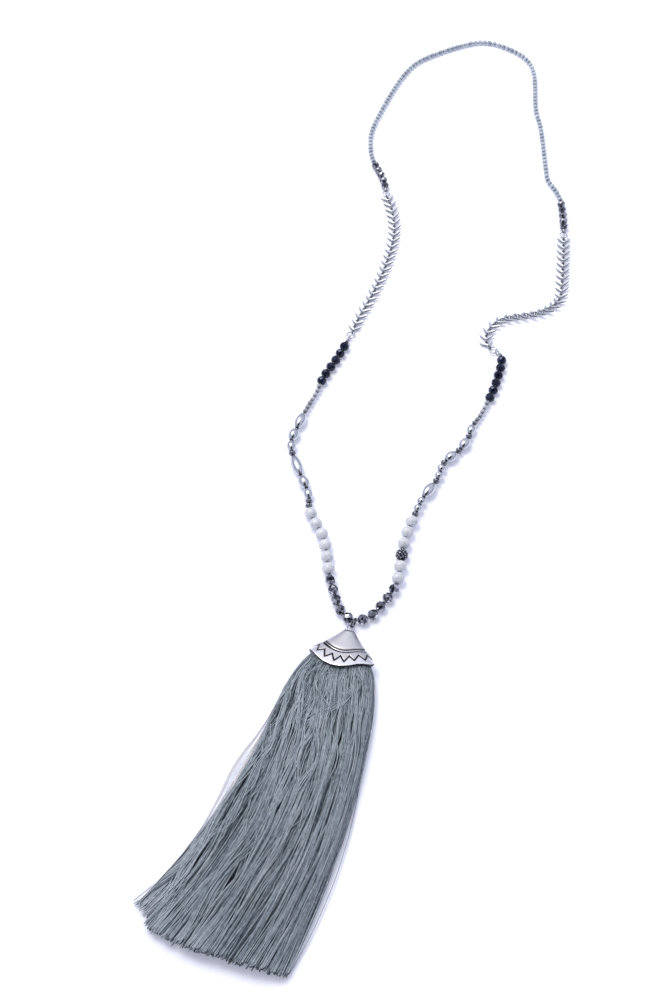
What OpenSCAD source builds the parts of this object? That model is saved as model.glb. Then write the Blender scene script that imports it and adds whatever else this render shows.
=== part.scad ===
// Long beaded necklace with a capped tassel, lying flat in one loop.
// Millimetres. +Z is up and the piece rests on z = 0, with the tassel towards -Y.

/* [Loop] */
// Width that the loop takes up on the table
loop_w = 145; // [135:1:155]
// Length that the loop takes up, from the tassel to the stretch behind the neck
loop_reach = 399.5; // [380:0.5:415]

/* [Round beads] */
// Diameter of the faceted metallic beads beside the tassel
hematite_d = 5; // [4.5:0.1:5.5]
// Diameter of the white stone beads
howlite_d = 5.9; // [5.2:0.1:6.5]
// Diameter of the black faceted beads
glass_d = 5; // [4.2:0.1:5.6]
// Length of a black faceted bead along the thread
glass_l = 4.6; // [4:0.1:5]
// Diameter of the dark faceted beads beside the seed beads
fire_d = 4.4; // [3.8:0.1:5]
// Length of a dark faceted bead along the thread
fire_l = 3.9; // [3.4:0.1:4.3]

/* [Silver beads] */
// Diameter of the oval silver beads
oval_d = 5.1; // [4.4:0.1:5.8]
// Length of a short oval bead
oval_l = 7.5; // [6.8:0.1:8]
// Length of a long oval bead
rice_l = 9.8; // [9:0.1:10.4]
// Length of the longest oval bead
rice_long_l = 12.2; // [11.2:0.1:12.8]
// Diameter of the olive shaped beads
olive_d = 4.3; // [3.8:0.1:5]
// Length of an olive shaped bead
olive_l = 6; // [5.4:0.1:6.5]
// Diameter of the small silver balls
ball_d = 4.1; // [3.7:0.1:4.6]
// Diameter of the dark spacer beads
spacer_d = 3.5; // [3:0.1:4.2]
// Length of a dark spacer bead
spacer_l = 2.1; // [1.8:0.1:2.4]

/* [Seed beads and thread] */
// Diameter of the run of pale seed beads behind the neck
neck_d = 2.9; // [2.5:0.1:3.4]
// Diameter of the runs of grey seed beads
seed_d = 2.8; // [2.5:0.1:3.2]
// Length of a grey seed bead along the thread
seed_l = 2.4; // [2.2:0.05:2.6]
// Diameter of the beading thread
thread_d = 0.6; // [0.4:0.05:0.75]
// Bore through every bead
bore_d = 1.2; // [1.1:0.05:1.4]
// Space between two beads on the thread
bead_gap = 0.4; // [0.34:0.02:0.44]

/* [Chain] */
// Links in each chain
link_count = 23; // [19:1:25]
// Distance from one link to the next
link_pitch = 4.45; // [4.3:0.05:4.6]
// Width over the tips of a link's two arms
link_span = 7.1; // [6:0.1:8]
// How far an arm's tip lies behind the link's middle
link_sweep = 2.3; // [1.6:0.1:2.8]
// Width of an arm where it is broadest
arm_w = 1.3; // [1.1:0.05:1.5]
// Thickness of a link
link_t = 0.7; // [0.6:0.05:0.8]
// Radius of a connecting ring, to the middle of its wire
ring_r = 1.05; // [1:0.01:1.1]
// Wire of a connecting ring
ring_wire_d = 0.52; // [0.46:0.02:0.56]
// Play of a connecting ring in a link's hole, on each side
ring_play = 0.31; // [0.25:0.01:0.33]

/* [Findings] */
// Radius of a jump ring, to the middle of its wire
jump_r = 2.05; // [1.8:0.05:2.3]
// Wire of the jump rings and thread loops
wire_d = 0.5; // [0.45:0.05:0.6]
// Radius of a thread loop beside a jump ring
low_loop_r = 1.6; // [1.5:0.05:1.8]
// Radius of a thread loop beside the seed beads
high_loop_r = 1.9; // [1.7:0.05:2.1]
// Length of the sleeve that grips the thread
sleeve_l = 1.6; // [1.2:0.1:2]
// Outside diameter of the sleeve
sleeve_d = 1.9; // [1.7:0.1:2.2]
// Radius of the bail that hangs the tassel on the thread
bail_r = 2.2; // [2.1:0.05:2.4]
// Wire of the bail
bail_wire_d = 0.8; // [0.7:0.05:0.9]
// Radius of the eye on top of the tassel
eye_r = 1.7; // [1.6:0.05:1.85]
// Space on each side of the bail between the two beads beside it
bail_play = 0.6; // [0.5:0.05:0.75]
// Wire of the eye and its pin
eye_wire_d = 0.9; // [0.8:0.05:1]

/* [Cap] */
// Distance from the cap's point down its face to the rim
cap_slant = 22.4; // [20:0.1:25]
// Half of the angle that the flattened cap spreads over
cap_spread = 40; // [36:1:44]
// Thickness of the cap at its point
cap_tip_h = 3.8; // [3.6:0.1:4.2]
// Thickness of the cap at its rim
cap_rim_h = 9.5; // [8.5:0.1:10.5]
// Wall of the cap
cap_wall = 1; // [0.9:0.05:1.2]
// Height of the raised band above the cone
band_relief = 0.35; // [0.25:0.05:0.45]
// Depth of the lines and the zigzag
groove_depth = 0.3; // [0.2:0.05:0.35]
// Zigzag turns all the way round
zigzag_count = 16; // [14:1:18]

/* [Tassel] */
// Distance from the cap's point to the cut ends
tassel_l = 153; // [140:1:165]
// Thickness of the skirt where it is fullest
skirt_h = 10.5; // [9.5:0.1:12]
// Number of locks side by side
lock_count = 13; // [11:1:15]
// Depth of the furrows between locks at the cut ends, as a share of the thickness
furrow = 0.42; // [0.25:0.01:0.5]
// Space between the tassel's head and the cap
head_gap = 0.4; // [0.3:0.05:0.5]

/* [Hidden] */
// The loop's route over the table, from the tassel along the left side, behind the neck and back,
// for a loop as wide and long as laid
laid = [145, 399.5];
route = [
    [-16.5, -124.5], [-20.2, -122.8], [-23, -119.3], [-27.5, -103.5], [-29.5, -86], [-31.5, -78.5],
    [-36.5, -69], [-37.5, -62], [-37.5, -56.5], [-43, -42], [-46.5, -29], [-45.5, -23], [-39.5, -7],
    [-33.5, 6], [-31.5, 13], [-24, 26.5], [-17.5, 41], [-14.2, 51], [-6, 69.5], [1.1, 89], [5.6, 107],
    [6.9, 121], [5.2, 136], [3, 144], [2.5, 151], [0.5, 159], [-3.5, 170], [-5, 181], [-3.5, 198.5],
    [8, 229], [16, 245.5], [24.5, 257], [39.5, 266.5], [56.5, 274], [66.5, 275], [76.5, 271],
    [88, 261], [92.5, 246], [91, 215], [92.5, 198], [92.5, 164], [93, 155], [96.5, 147], [98.5, 135],
    [97.5, 111], [93, 74], [90.5, 65.5], [84.5, 59.5], [75.5, 56], [66.5, 54.5], [59, 52], [54, 47],
    [51.5, 41.5], [51.2, 38.2], [52.6, 34.8], [55.1, 31.6], [57.6, 29.1], [58.6, 26.2], [58.1, 22.5],
    [55.9, 15], [53, 6], [46, -9.3], [41, -17], [39.3, -22.5], [37.9, -27.3], [32.1, -33.3],
    [25.9, -39.5], [23.2, -48], [17.5, -56], [14, -63], [6.5, -82.5], [3.5, -101], [1, -108.5],
    [-7.5, -120.5], [-12, -123.8]
];
// Roll of the right chain about its length: link, counted from the tassel, and angle
roll_right = [
    [0, 0], [2, -8], [4, -16], [6, -22], [8, -24], [10, -22], [12, -16], [16, -5], [23, 0]
];
// Roll of the left chain
roll_left = [[0, 0], [3, 8], [12, 10], [20, 6], [23, 0]];
// Beads of each side in order from the tassel
left_kinds = concat(
    repeat("hematite", 5), repeat("howlite", 6),
    ["spacer", "spacer", "olive", "oval", "rice_long", "spacer", "olive", "oval", "rice"],
    repeat("seed", 7), repeat("glass", 6)
);
right_kinds = concat(
    repeat("hematite", 5), repeat("howlite", 2), ["sparkle"], repeat("howlite", 3),
    ["spacer", "ball", "ball", "rice", "spacer", "ball", "ball", "spacer", "oval", "spacer", "oval",
     "spacer", "olive"],
    repeat("seed", 6), repeat("glass", 6)
);
fire_count = 5;
silver_kinds = ["olive", "oval", "rice", "rice_long", "ball"];

function repeat(kind, count) = [for (i = [1:count]) kind];
function bead_l(kind) =
    kind == "hematite" ? hematite_d
    : kind == "howlite" || kind == "sparkle" ? howlite_d
    : kind == "glass" ? glass_l
    : kind == "oval" ? oval_l
    : kind == "rice" ? rice_l
    : kind == "rice_long" ? rice_long_l
    : kind == "olive" ? olive_l
    : kind == "ball" ? ball_d
    : kind == "spacer" ? spacer_l
    : seed_l;
function bead_d(kind) =
    kind == "olive" ? olive_d : kind == "ball" ? ball_d : kind == "spacer" ? spacer_d : oval_d;

// The route as a smooth closed curve, cut into short steps and measured from the tassel
steps = 6;
turns = len(route);
// Brings the middle of the whole piece over the origin
to_middle = [0, 0.3];
function turn(i) = let (p = route[(i + turns) % turns])
    [p[0] * loop_w / laid[0], p[1] * loop_reach / laid[1]] + to_middle;
function curve(a, b, c, d, t) =
    0.5 * (2 * b + (c - a) * t + (2 * a - 5 * b + 4 * c - d) * t * t + (3 * b - a - 3 * c + d) * t * t * t);
trace = [for (i = [0:turns - 1]) for (k = [0:steps - 1])
    curve(turn(i - 1), turn(i), turn(i + 1), turn(i + 2), k / steps)];
trace_n = len(trace);
function step_l(i) = norm(trace[(i + 1) % trace_n] - trace[i % trace_n]);
run = [for (i = 0, s = 0; i <= trace_n; s = s + step_l(i), i = i + 1) s];
loop_l = run[trace_n];
trace_x = [for (i = [0:trace_n]) [run[i], trace[i % trace_n][0]]];
trace_y = [for (i = [0:trace_n]) [run[i], trace[i % trace_n][1]]];
// A place on the route, at a distance from the tassel along side 1 (left) or -1 (right)
function along(side, s) = let (d = side > 0 ? s : loop_l - s) [lookup(d, trace_x), lookup(d, trace_y)];

// Where each bead starts, with half a gap before it
bail_room = bail_wire_d / 2 + bail_play;
function starts(kinds) = [for (i = 0, s = bail_room; i <= len(kinds);
    s = s + (i < len(kinds) ? bead_l(kinds[i]) : 0) + bead_gap, i = i + 1) s];
left_starts = starts(left_kinds);
right_starts = starts(right_kinds);
function kinds_of(side) = side > 0 ? left_kinds : right_kinds;
function starts_of(side) = side > 0 ? left_starts : right_starts;
function string_end(side) = starts_of(side)[len(kinds_of(side))];

// Places along the thread loop, jump ring and connecting ring at the chain's lower end
overlap = wire_d / 2;
grip_start = 0.3;
thread_grip = 0.6;
low_loop_at = grip_start + sleeve_l + low_loop_r + wire_d / 2 - overlap;
link_room = 0.4;
ring_slack = 0.15;
jump_at = low_loop_at + low_loop_r - wire_d - link_room + jump_r;
chain_from = jump_at + jump_r + ring_r - ring_wire_d / 2 - wire_d / 2 - ring_slack;
chain_l = link_count * link_pitch;
function chain_start(side) = string_end(side) + chain_from;
function chain_end(side) = chain_start(side) + chain_l;
// Places at its upper end, counted from the chain's last ring
high_loop_at = ring_r - ring_wire_d / 2 - wire_d / 2 - ring_slack + high_loop_r;
high_grip_at = high_loop_at + high_loop_r + wire_d / 2 - overlap;
fire_from = high_grip_at + sleeve_l + grip_start;
function fire_start(side) = chain_end(side) + fire_from;
function neck_start(side) = fire_start(side) + fire_count * (fire_l + bead_gap);

// Height of the thread: each kind of bead rests on the table, and small ones hang between large ones
chain_z = ring_r + ring_wire_d / 2;
jump_lift = 0.15;
jump_z = chain_z + jump_lift;
seed_sag = 0.5;
ring_step = 0.1;
settle_l = 8;
function first_of(side, kind) = starts_of(side)[search([kind], kinds_of(side))[0]];
function heights(side) = let (
    howlite_s = first_of(side, "howlite"),
    silver_s = first_of(side, "spacer"),
    seed_s = first_of(side, "seed"),
    glass_s = first_of(side, "glass"),
    end_s = string_end(side)
) [
    [0, hematite_d / 2], [howlite_s - bead_gap, howlite_d / 2], [silver_s, howlite_d / 2],
    [seed_s, oval_d / 2], [(seed_s + glass_s) / 2, oval_d / 2 - seed_sag], [glass_s - bead_gap, glass_d / 2],
    [end_s, glass_d / 2], [end_s + low_loop_at, low_loop_r + wire_d / 2],
    [end_s + low_loop_at + ring_step, jump_z], [chain_start(side), chain_z], [chain_end(side), chain_z],
    [fire_start(side) - bead_gap, fire_d / 2], [neck_start(side) + bead_gap, fire_d / 2],
    [neck_start(side) + settle_l, neck_d / 2]
];
left_heights = heights(1);
right_heights = heights(-1);
function height_at(side, s) = lookup(s, side > 0 ? left_heights : right_heights);
function at(side, s) = let (p = along(side, s)) [p[0], p[1], height_at(side, s)];

// Draws what follows with its length on the line from p to q, its middle halfway
module between(p, q, roll = 0) {
    d = q - p;
    translate((p + q) / 2)
        rotate([0, 0, atan2(d[1], d[0])])
            rotate([0, -atan2(d[2], norm([d[0], d[1]])), 0])
                rotate([roll, 0, 0]) children();
}

// Faces of a grid of points that closes both ways
function ring_faces(rows, n) = [for (i = [0:rows - 1]) for (j = [0:n - 1])
    let (k = (i + 1) % rows, m = (j + 1) % n, a = i * n + j, b = i * n + m, c = k * n + m, d = k * n + j)
    each [[a, c, b], [a, d, c]]];
// Faces of a grid that closes round, with a flat face at each end
function rod_faces(rows, n) = concat(
    [for (i = [0:rows - 2]) for (j = [0:n - 1])
        let (a = i * n + j, b = i * n + (j + 1) % n, c = (i + 1) * n + (j + 1) % n, d = (i + 1) * n + j)
        each [[a, c, b], [a, d, c]]],
    [[for (j = [0:n - 1]) j], [for (j = [n - 1:-1:0]) (rows - 1) * n + j]]
);

// Points round a path, square to it
tube_sides = 8;
shortest = 0.001;
function path_turn(path, i) = let (
    a = path[max(i - 1, 0)], b = path[i], c = path[min(i + 1, len(path) - 1)],
    u = (b - a) / max(norm(b - a), shortest), v = (c - b) / max(norm(c - b), shortest), w = u + v
) w / norm(w);
function path_rings(path, r) = [for (i = [0:len(path) - 1])
    let (w = path_turn(path, i), s = cross([0, 0, 1], w) / norm(cross([0, 0, 1], w)), t = cross(w, s))
    each [for (j = [0:tube_sides - 1]) let (a = (j + 0.5) * 360 / tube_sides)
        path[i] + r * (cos(a) * s + sin(a) * t)]];
// A run of seed beads: a tube with a bore, its rings out along the outside and back along the bore
module seed_tube(path, r) {
    rows = len(path);
    flat = [for (i = [rows - 1:-1:0]) path[i]];
    inner = path_rings(flat, bore_d / 2);
    turned = [for (i = [0:rows - 1]) for (j = [0:tube_sides - 1])
        inner[i * tube_sides + (tube_sides * 3 / 2 - 1 - j) % tube_sides]];
    polyhedron(concat(path_rings(path, r), turned), ring_faces(2 * rows, tube_sides));
}

// Beads
belly_parts = 4;
fullness = 0.75;
module turned_bead(l, d, sides, power) {
    // The outline swells from the bore's edge to the widest place and back
    belly = [for (i = [-belly_parts:belly_parts]) let (x = i / belly_parts)
        [bore_d / 2 + (d - bore_d) / 2 * pow(1 - pow(abs(x), power), fullness), x * l / 2]];
    rotate([0, 90, 0]) rotate_extrude($fn = sides) polygon(belly);
}
module cut_bead(l, d, sides) {
    // A table round each end of the bore, and two rows of facets from it to the widest place.
    // All corners lie on the bead's round form, so a table is a little inside the bead's full length
    widths = [0.42, 0.82, 1, 0.82, 0.42];
    profile = [for (i = [0:4]) [widths[i] * d / 2, sign(i - 2) * sqrt(1 - pow(widths[i], 2)) * l / 2]];
    table_at = profile[4][1];
    rotate([0, 90, 0]) rotate_extrude($fn = sides)
        polygon(concat([[bore_d / 2, -table_at]], profile, [[bore_d / 2, table_at]]));
}
module round_bead(d) {
    bands = 14;
    reach = acos(bore_d / d);
    arc = [for (i = [0:bands]) let (a = reach * (2 * i / bands - 1)) d / 2 * [cos(a), sin(a)]];
    rotate([0, 90, 0]) rotate_extrude($fn = 32) polygon(arc);
}
module strung(side, i) {
    s = starts_of(side)[i];
    between(at(side, s - bead_gap / 2), at(side, s + bead_l(kinds_of(side)[i]) + bead_gap / 2)) children();
}
module hematite_bead() { color("#5d5f66") cut_bead(hematite_d, hematite_d, 8); }
module howlite_bead() { color("#e9e9ee") round_bead(howlite_d); }
module sparkle_bead() { color("#70747c") round_bead(howlite_d); }
module glass_bead() { color("#161c2c") cut_bead(glass_l, glass_d, 8); }
module silver_beads(side) {
    color("#c6c8cc") for (i = [0:len(kinds_of(side)) - 1]) let (kind = kinds_of(side)[i])
        if (is_silver(kind))
            strung(side, i) turned_bead(bead_l(kind), bead_d(kind), 24, 2);
}
function is_silver(kind) = len([for (k = silver_kinds) if (k == kind) 1]) > 0;
module spacer_beads(side) {
    color("#4c4e56") for (i = [0:len(kinds_of(side)) - 1])
        if (kinds_of(side)[i] == "spacer") strung(side, i) turned_bead(spacer_l, spacer_d, 20, 2.5);
}
module grey_seeds(side) {
    kinds = kinds_of(side);
    spots = [for (i = [0:len(kinds) - 1]) if (kinds[i] == "seed") i];
    s0 = starts_of(side)[spots[0]];
    path = [for (k = [0:len(spots)]) at(side, s0 - bead_gap / 2 + k * (seed_l + bead_gap))];
    color("#8f949c") seed_tube(path_trim(path, bead_gap / 2), seed_d / 2);
}
// A path with both of its ends drawn in
function path_trim(path, cut) = let (n = len(path) - 1) [for (i = [0:n])
    i == 0 ? path[0] + cut * (path[1] - path[0]) / norm(path[1] - path[0])
    : i == n ? path[n] + cut * (path[n - 1] - path[n]) / norm(path[n - 1] - path[n])
    : path[i]];
module fire_beads(side) {
    color("#3c3e48") for (i = [0:fire_count - 1]) let (s = fire_start(side) + i * (fire_l + bead_gap))
        between(at(side, s - bead_gap / 2), at(side, s + fire_l + bead_gap / 2)) cut_bead(fire_l, fire_d, 8);
}

// The seed beads behind the neck, from one side's dark beads to the other's
neck_steps = 33;
function neck_at(k) = let (
    a = neck_start(1), b = loop_l - neck_start(-1), s = a + (b - a) * k / neck_steps,
    side = s < loop_l / 2 ? 1 : -1
) at(side, side > 0 ? s : loop_l - s);
module neck_seeds() {
    color("#cfd4dc") seed_tube(path_trim([for (k = [0:neck_steps]) neck_at(k)], bead_gap / 2), neck_d / 2);
}

// Threads
function bead_ends(side) = [for (i = [0:len(kinds_of(side))]) at(side, starts_of(side)[i] - bead_gap / 2)];
function sleeve_end(side) = at(side, string_end(side) + grip_start + thread_grip * sleeve_l);
module thread(path) {
    color("#8a8c90") polyhedron(path_rings(path, thread_d / 2), rod_faces(len(path), tube_sides));
}
module drop_thread() {
    left = bead_ends(1);
    right = bead_ends(-1);
    thread(concat(
        [sleeve_end(1)], [for (i = [len(left) - 1:-1:0]) left[i]], [at(1, 0)],
        right, [sleeve_end(-1)]
    ));
}
function fire_ends(side) = [for (i = [0:fire_count - 1])
    at(side, fire_start(side) - bead_gap / 2 + i * (fire_l + bead_gap))];
function fire_sleeve(side) = at(side, fire_start(side) - grip_start - thread_grip * sleeve_l);
module neck_thread() {
    left = fire_ends(1);
    right = fire_ends(-1);
    thread(concat(
        [fire_sleeve(1)], left, [for (k = [0:neck_steps]) neck_at(k)],
        [for (i = [len(right) - 1:-1:0]) right[i]], [fire_sleeve(-1)]
    ));
}

// Findings
module wire_ring(r, d) { rotate_extrude($fn = 32) translate([r, 0]) circle(d = d, $fn = 16); }
module sleeve() {
    rotate([0, 90, 0]) difference() {
        cylinder(d = sleeve_d, h = sleeve_l, $fn = 24);
        translate([0, 0, -sleeve_l / 2]) cylinder(d = bore_d, h = 2 * sleeve_l, $fn = 24);
    }
}
module low_loop(side) {
    p = at(side, string_end(side));
    q = at(side, string_end(side) + low_loop_at);
    color("#b4b6ba") between(p, q) translate([-norm(q - p) / 2, 0, 0]) {
        translate([grip_start, 0, 0]) sleeve();
        translate([low_loop_at, 0, 0]) rotate([90, 0, 0]) wire_ring(low_loop_r, wire_d);
    }
}
module jump_ring(side) {
    // The chain's end ring pulls it towards the thread loop
    end = along(side, chain_start(side));
    pull = along(side, string_end(side) + low_loop_at) - end;
    c = end + (chain_from - jump_at) * pull / norm(pull);
    color("#a8aab0") translate([c[0], c[1], jump_z]) wire_ring(jump_r, wire_d);
}
module high_loop(side) {
    p = at(side, chain_end(side));
    q = at(side, fire_start(side));
    color("#b4b6ba") between(p, q) translate([-norm(q - p) / 2, 0, 0]) {
        translate([high_loop_at, 0, 0]) wire_ring(high_loop_r, wire_d);
        translate([high_grip_at, 0, 0]) sleeve();
    }
}

// Chain: swept arms on a flat bar, joined by upright rings
hole_at = link_pitch / 2 - ring_r;
hole_r = ring_wire_d / 2 + ring_play;
bar_r = ring_r - ring_slack;
arm_root = 0.7;
// Outline of an arm, a leaf from the bar to its tip. Columns: share of its length, share of its half width
leaf = [[0, 0.5], [0.2, 0.85], [0.45, 1], [0.7, 0.8], [0.88, 0.42], [1, 0.08]];
module arm(side) {
    root = [-arm_root, 0];
    way = [link_sweep, side * link_span / 2] - root;
    out = [-way[1], way[0]] / norm(way) * arm_w / 2;
    polygon(concat(
        [for (p = leaf) root + p[0] * way + p[1] * out],
        [for (i = [len(leaf) - 1:-1:0]) root + leaf[i][0] * way - leaf[i][1] * out]
    ));
}
module link_plate() {
    linear_extrude(link_t, center = true) difference() {
        union() {
            translate([-hole_at, 0]) circle(r = bar_r, $fn = 20);
            translate([hole_at, 0]) circle(r = bar_r, $fn = 20);
            arm(-1);
            arm(1);
        }
        translate([-hole_at, 0]) circle(r = hole_r, $fn = 16);
        translate([hole_at, 0]) circle(r = hole_r, $fn = 16);
    }
}
function roll_at(side, k) = side > 0 ? lookup(k, roll_left) : lookup(k, roll_right);
// A rolled link stands on the tips of its lower arms
function stand(side, k) = let (a = abs(roll_at(side, k))) link_span / 2 * sin(a) + link_t / 2 * cos(a);
function joint_at(side, k) = let (p = along(side, chain_start(side) + k * link_pitch))
    [p[0], p[1], max(chain_z, stand(side, k - 1), stand(side, k), stand(side, k + 1))];
module chain(side) {
    color("#b9bcc2") {
        for (k = [0:link_count - 1])
            between(joint_at(side, k), joint_at(side, k + 1), -side * roll_at(side, k + 0.5)) link_plate();
        for (k = [0:link_count]) {
            p = joint_at(side, max(k - 0.5, 0));
            q = joint_at(side, min(k + 0.5, link_count));
            back = k == 0 ? -link_pitch / 4 : k == link_count ? link_pitch / 4 : 0;
            between(p, q, -side * roll_at(side, k)) translate([back, 0, 0]) rotate([90, 0, 0])
                rotate_extrude($fn = 10) translate([ring_r, 0]) circle(d = ring_wire_d, $fn = 5);
        }
    }
}

// Tassel's hanger: the bail takes the thread and the eye, whose pin goes down into the cap
function heading(a) = [cos(a), sin(a)];
hang_play = 0.2;
hang_heading = 239;
cap_heading = 256;
bail_seat = bail_r - bail_wire_d / 2 - thread_d / 2 - hang_play;
bail_reach = bail_r - bail_wire_d / 2 - eye_wire_d / 2 - hang_play;
thread_low = at(1, 0);
bail_c = [thread_low[0], thread_low[1]] + bail_seat * heading(hang_heading);
eye_xy = bail_c + (bail_reach + eye_r) * heading(hang_heading);
eye_z = 2.2;
// The eye's middle lies a little below the point where the cap's two edges would meet
eye_place = 1.2;
cap_point = eye_xy - eye_place * heading(cap_heading);
module bail() {
    color("#8d9098") translate([bail_c[0], bail_c[1], bail_r + bail_wire_d / 2])
        rotate([90, 0, hang_heading]) wire_ring(bail_r, bail_wire_d);
}
pin_l = 4.2;
module eye_pin() {
    color("#c9cbd2") translate([eye_xy[0], eye_xy[1], eye_z]) rotate([0, 0, cap_heading]) {
        wire_ring(eye_r, eye_wire_d);
        translate([eye_r, 0, 0]) rotate([0, 90, 0]) cylinder(d = eye_wire_d, h = pin_l - eye_r, $fn = 16);
    }
}

// Cap: a cone pressed flat, so its front and back sheets are both parts of a disc round the point.
// Columns: share of the slant, height over the cone in units of the relief, height in units of the groove
cap_rows = [
    [0.16, 0, 0], [0.64, 0, 0], [0.655, 0, -1], [0.67, 0, 0], [0.688, 0.5, 0], [0.704, 0.5, -1], [0.722, 1, 0]
];
zigzag_from = 0.775;
zigzag_to = 0.885;
// The zigzag's edges and bed. Columns: shift in shares of the slant, height over the cone in units of
// the relief, height in units of the groove
zigzag_rows = [[-0.016, 1, 0], [0.005, 1, -1], [0.026, 1, 0]];
// The rim. Columns as in the cap's rows
rim_rows = [[0.97, 1, 0], [1, 0.5, 0]];
inner_shares = [1, 0.5, 0.16];
// The lines and the rim sag left of the middle and rise to the right, on the front alone.
// Columns: place across the cap, sag as a share of the slant
cap_sag = [
    [-1, -0.02], [-0.76, 0.02], [-0.41, 0.075], [-0.16, 0.09],
    [0.06, 0.08], [0.34, 0.04], [0.59, -0.01], [1, -0.03]
];
// The back lies on the table, so only what lies further round than this is raised
raised_from = -0.2;
least_sine = 0.02;
cap_columns = 2 * zigzag_count;
function cap_h(r) = cap_tip_h + (cap_rim_h - cap_tip_h) * r / cap_slant;
// A place on the cap: r down the slant, u round it, and inwards by a depth
function cap_at(r, u, depth) = let (
    a = asin(max(sin(cap_spread) - depth / r, least_sine)) * sin(u),
    p = cap_point + r * heading(cap_heading + a)
) [p[0], p[1], cap_h(r) / 2 + (cap_h(r) / 2 - depth) * cos(u)];
function sagged(share, u) = share * (1 + lookup(sin(u), cap_sag) * share * min(2 * max(cos(u), 0), 1));
// Columns are spaced evenly along the flattened sheet
even_turn = 8.7;
function cap_turn(j) = let (e = -j * 360 / cap_columns) e - even_turn * sin(2 * e);
function rise(row) = row[1] * band_relief + row[2] * groove_depth;
function cap_ring(row) = [for (j = [0:cap_columns - 1]) let (u = cap_turn(j))
    cap_at(sagged(row[0], u) * cap_slant, u, cos(u) > raised_from ? -rise(row) : 0)];
function zigzag(j) = zigzag_from + (zigzag_to - zigzag_from) * (j % 2);
function zigzag_ring(row) = [for (j = [0:cap_columns - 1]) let (u = cap_turn(j))
    cap_at(sagged(zigzag(j) + row[0], u) * cap_slant, u, cos(u) > raised_from ? -rise(row) : 0)];
module tassel_cap() {
    outer = concat(
        [for (row = cap_rows) each cap_ring(row)],
        [for (row = zigzag_rows) each zigzag_ring(row)],
        [for (row = rim_rows) each cap_ring(row)]
    );
    inner = [for (share = inner_shares) each [for (j = [0:cap_columns - 1]) let (u = cap_turn(j))
        cap_at(sagged(share, u) * cap_slant, u, cap_wall)]];
    rows = (len(outer) + len(inner)) / cap_columns;
    color("#c6c9d4") polyhedron(concat(outer, inner), ring_faces(rows, cap_columns));
}

// Tassel: the strands leave the rim fanwise and bend over to the left.
// Columns: place across the skirt, share of the tassel's length, angle from the cap's heading
cut_ends = [
    [-1, 0.968, -20.3], [-0.85, 1.005, -16.3], [-0.5, 1.003, -10.3],
    [0, 0.995, -4.3], [0.5, 0.995, 1.3], [1, 0.994, 4.6]
];
// Columns: place down the skirt, share of the fullest thickness, lift of the underside in cap walls
skirt_rows = [
    [0.04, 0.78, 1.2], [0.09, 0.95, 0.5], [0.17, 1, 0], [0.32, 0.97, 0], [0.5, 0.89, 0], [0.68, 0.81, 0],
    [0.85, 0.73, 0], [1, 0.66, 0]
];
// Shares of the lock's length and height, one for each lock, used over again
lock_length = [0.985, 1, 0.99, 1.005, 0.98, 1, 0.99, 0.975, 1.005, 0.99];
lock_height = [0.9, 1, 0.93, 1.04, 0.95, 1.05, 0.92, 1.02, 0.97, 0.9];
// How far the strands keep their heading from the rim and from the cut ends, at the left and right edge
rim_reach = [29, 13];
cut_reach = [87, 72];
drape_heading = 236.7;
drape_turn = 8.1;
function end_place(v) = cap_point
    + tassel_l * lookup(v, [for (e = cut_ends) [e[0], e[1]]])
    * heading(cap_heading + lookup(v, [for (e = cut_ends) [e[0], e[2]]]));
function end_heading(v) = drape_heading + drape_turn * v;
head_spread = asin(sin(cap_spread) - (cap_wall + head_gap) / cap_slant);
function rim_place(v) = cap_point + cap_slant * heading(cap_heading + head_spread * v);
function strand(v, t) = let (
    p = rim_place(v), q = end_place(v),
    right = (v + 1) / 2,
    a = p + (rim_reach[0] * (1 - right) + rim_reach[1] * right) * heading(cap_heading + head_spread * v),
    b = q - (cut_reach[0] * (1 - right) + cut_reach[1] * right) * heading(end_heading(v)),
    s = 1 - t
) s * s * s * p + 3 * s * s * t * a + 3 * s * t * t * b + t * t * t * q;
lock_parts = 4;
across = lock_count * lock_parts;
// Least thickness of the skirt along its sides
skirt_edge = 1;
edge_share = 0.28;
// Shares of the cap's slant at which the bound head is drawn, and its least thickness
head_shares = [0.36, 0.55, 0.78, 1.005];
head_edge = 0.04;
// The furrows are shallower beside the cap, and shorten the cut ends a little
furrow_at_cap = 0.25;
furrow_cut = 0.02;
cut_from = 0.99;
function place(j) = 2 * j / across - 1;
function lock_of(j) = min(floor(j / lock_parts), lock_count - 1);
function furrow_at(j) = let (k = j % lock_parts) k == 0 ? 1 : 0;
// The skirt thins towards its two edges
function dome(v) = edge_share + (1 - edge_share) * sqrt(max(1 - v * v, 0));
function head_half(r, v) = (cap_h(r) / 2 - cap_wall - head_gap) * sqrt(max(1 - v * v, head_edge));
function head_top(r, v) = cap_h(r) / 2 + head_half(r, v);
function head_under(r, v) = cap_h(r) / 2 - head_half(r, v);
function head_place(r, v) = cap_point
    + r * heading(cap_heading + asin(max(sin(cap_spread) - (cap_wall + head_gap) / r, least_sine)) * v);
function lock_t(row, j) = row[0] < cut_from ? row[0]
    : lock_length[lock_of(j) % len(lock_length)] - furrow_cut * furrow_at(j);
function furrow_depth(t, j) = furrow * furrow_at(j) * (furrow_at_cap + (1 - furrow_at_cap) * t);
function skirt_top(row, j) = let (v = place(j), deep = furrow_depth(row[0], j))
    skirt_h * row[1] * dome(v) * lock_height[lock_of(j) % len(lock_height)] * (1 - deep);
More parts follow.
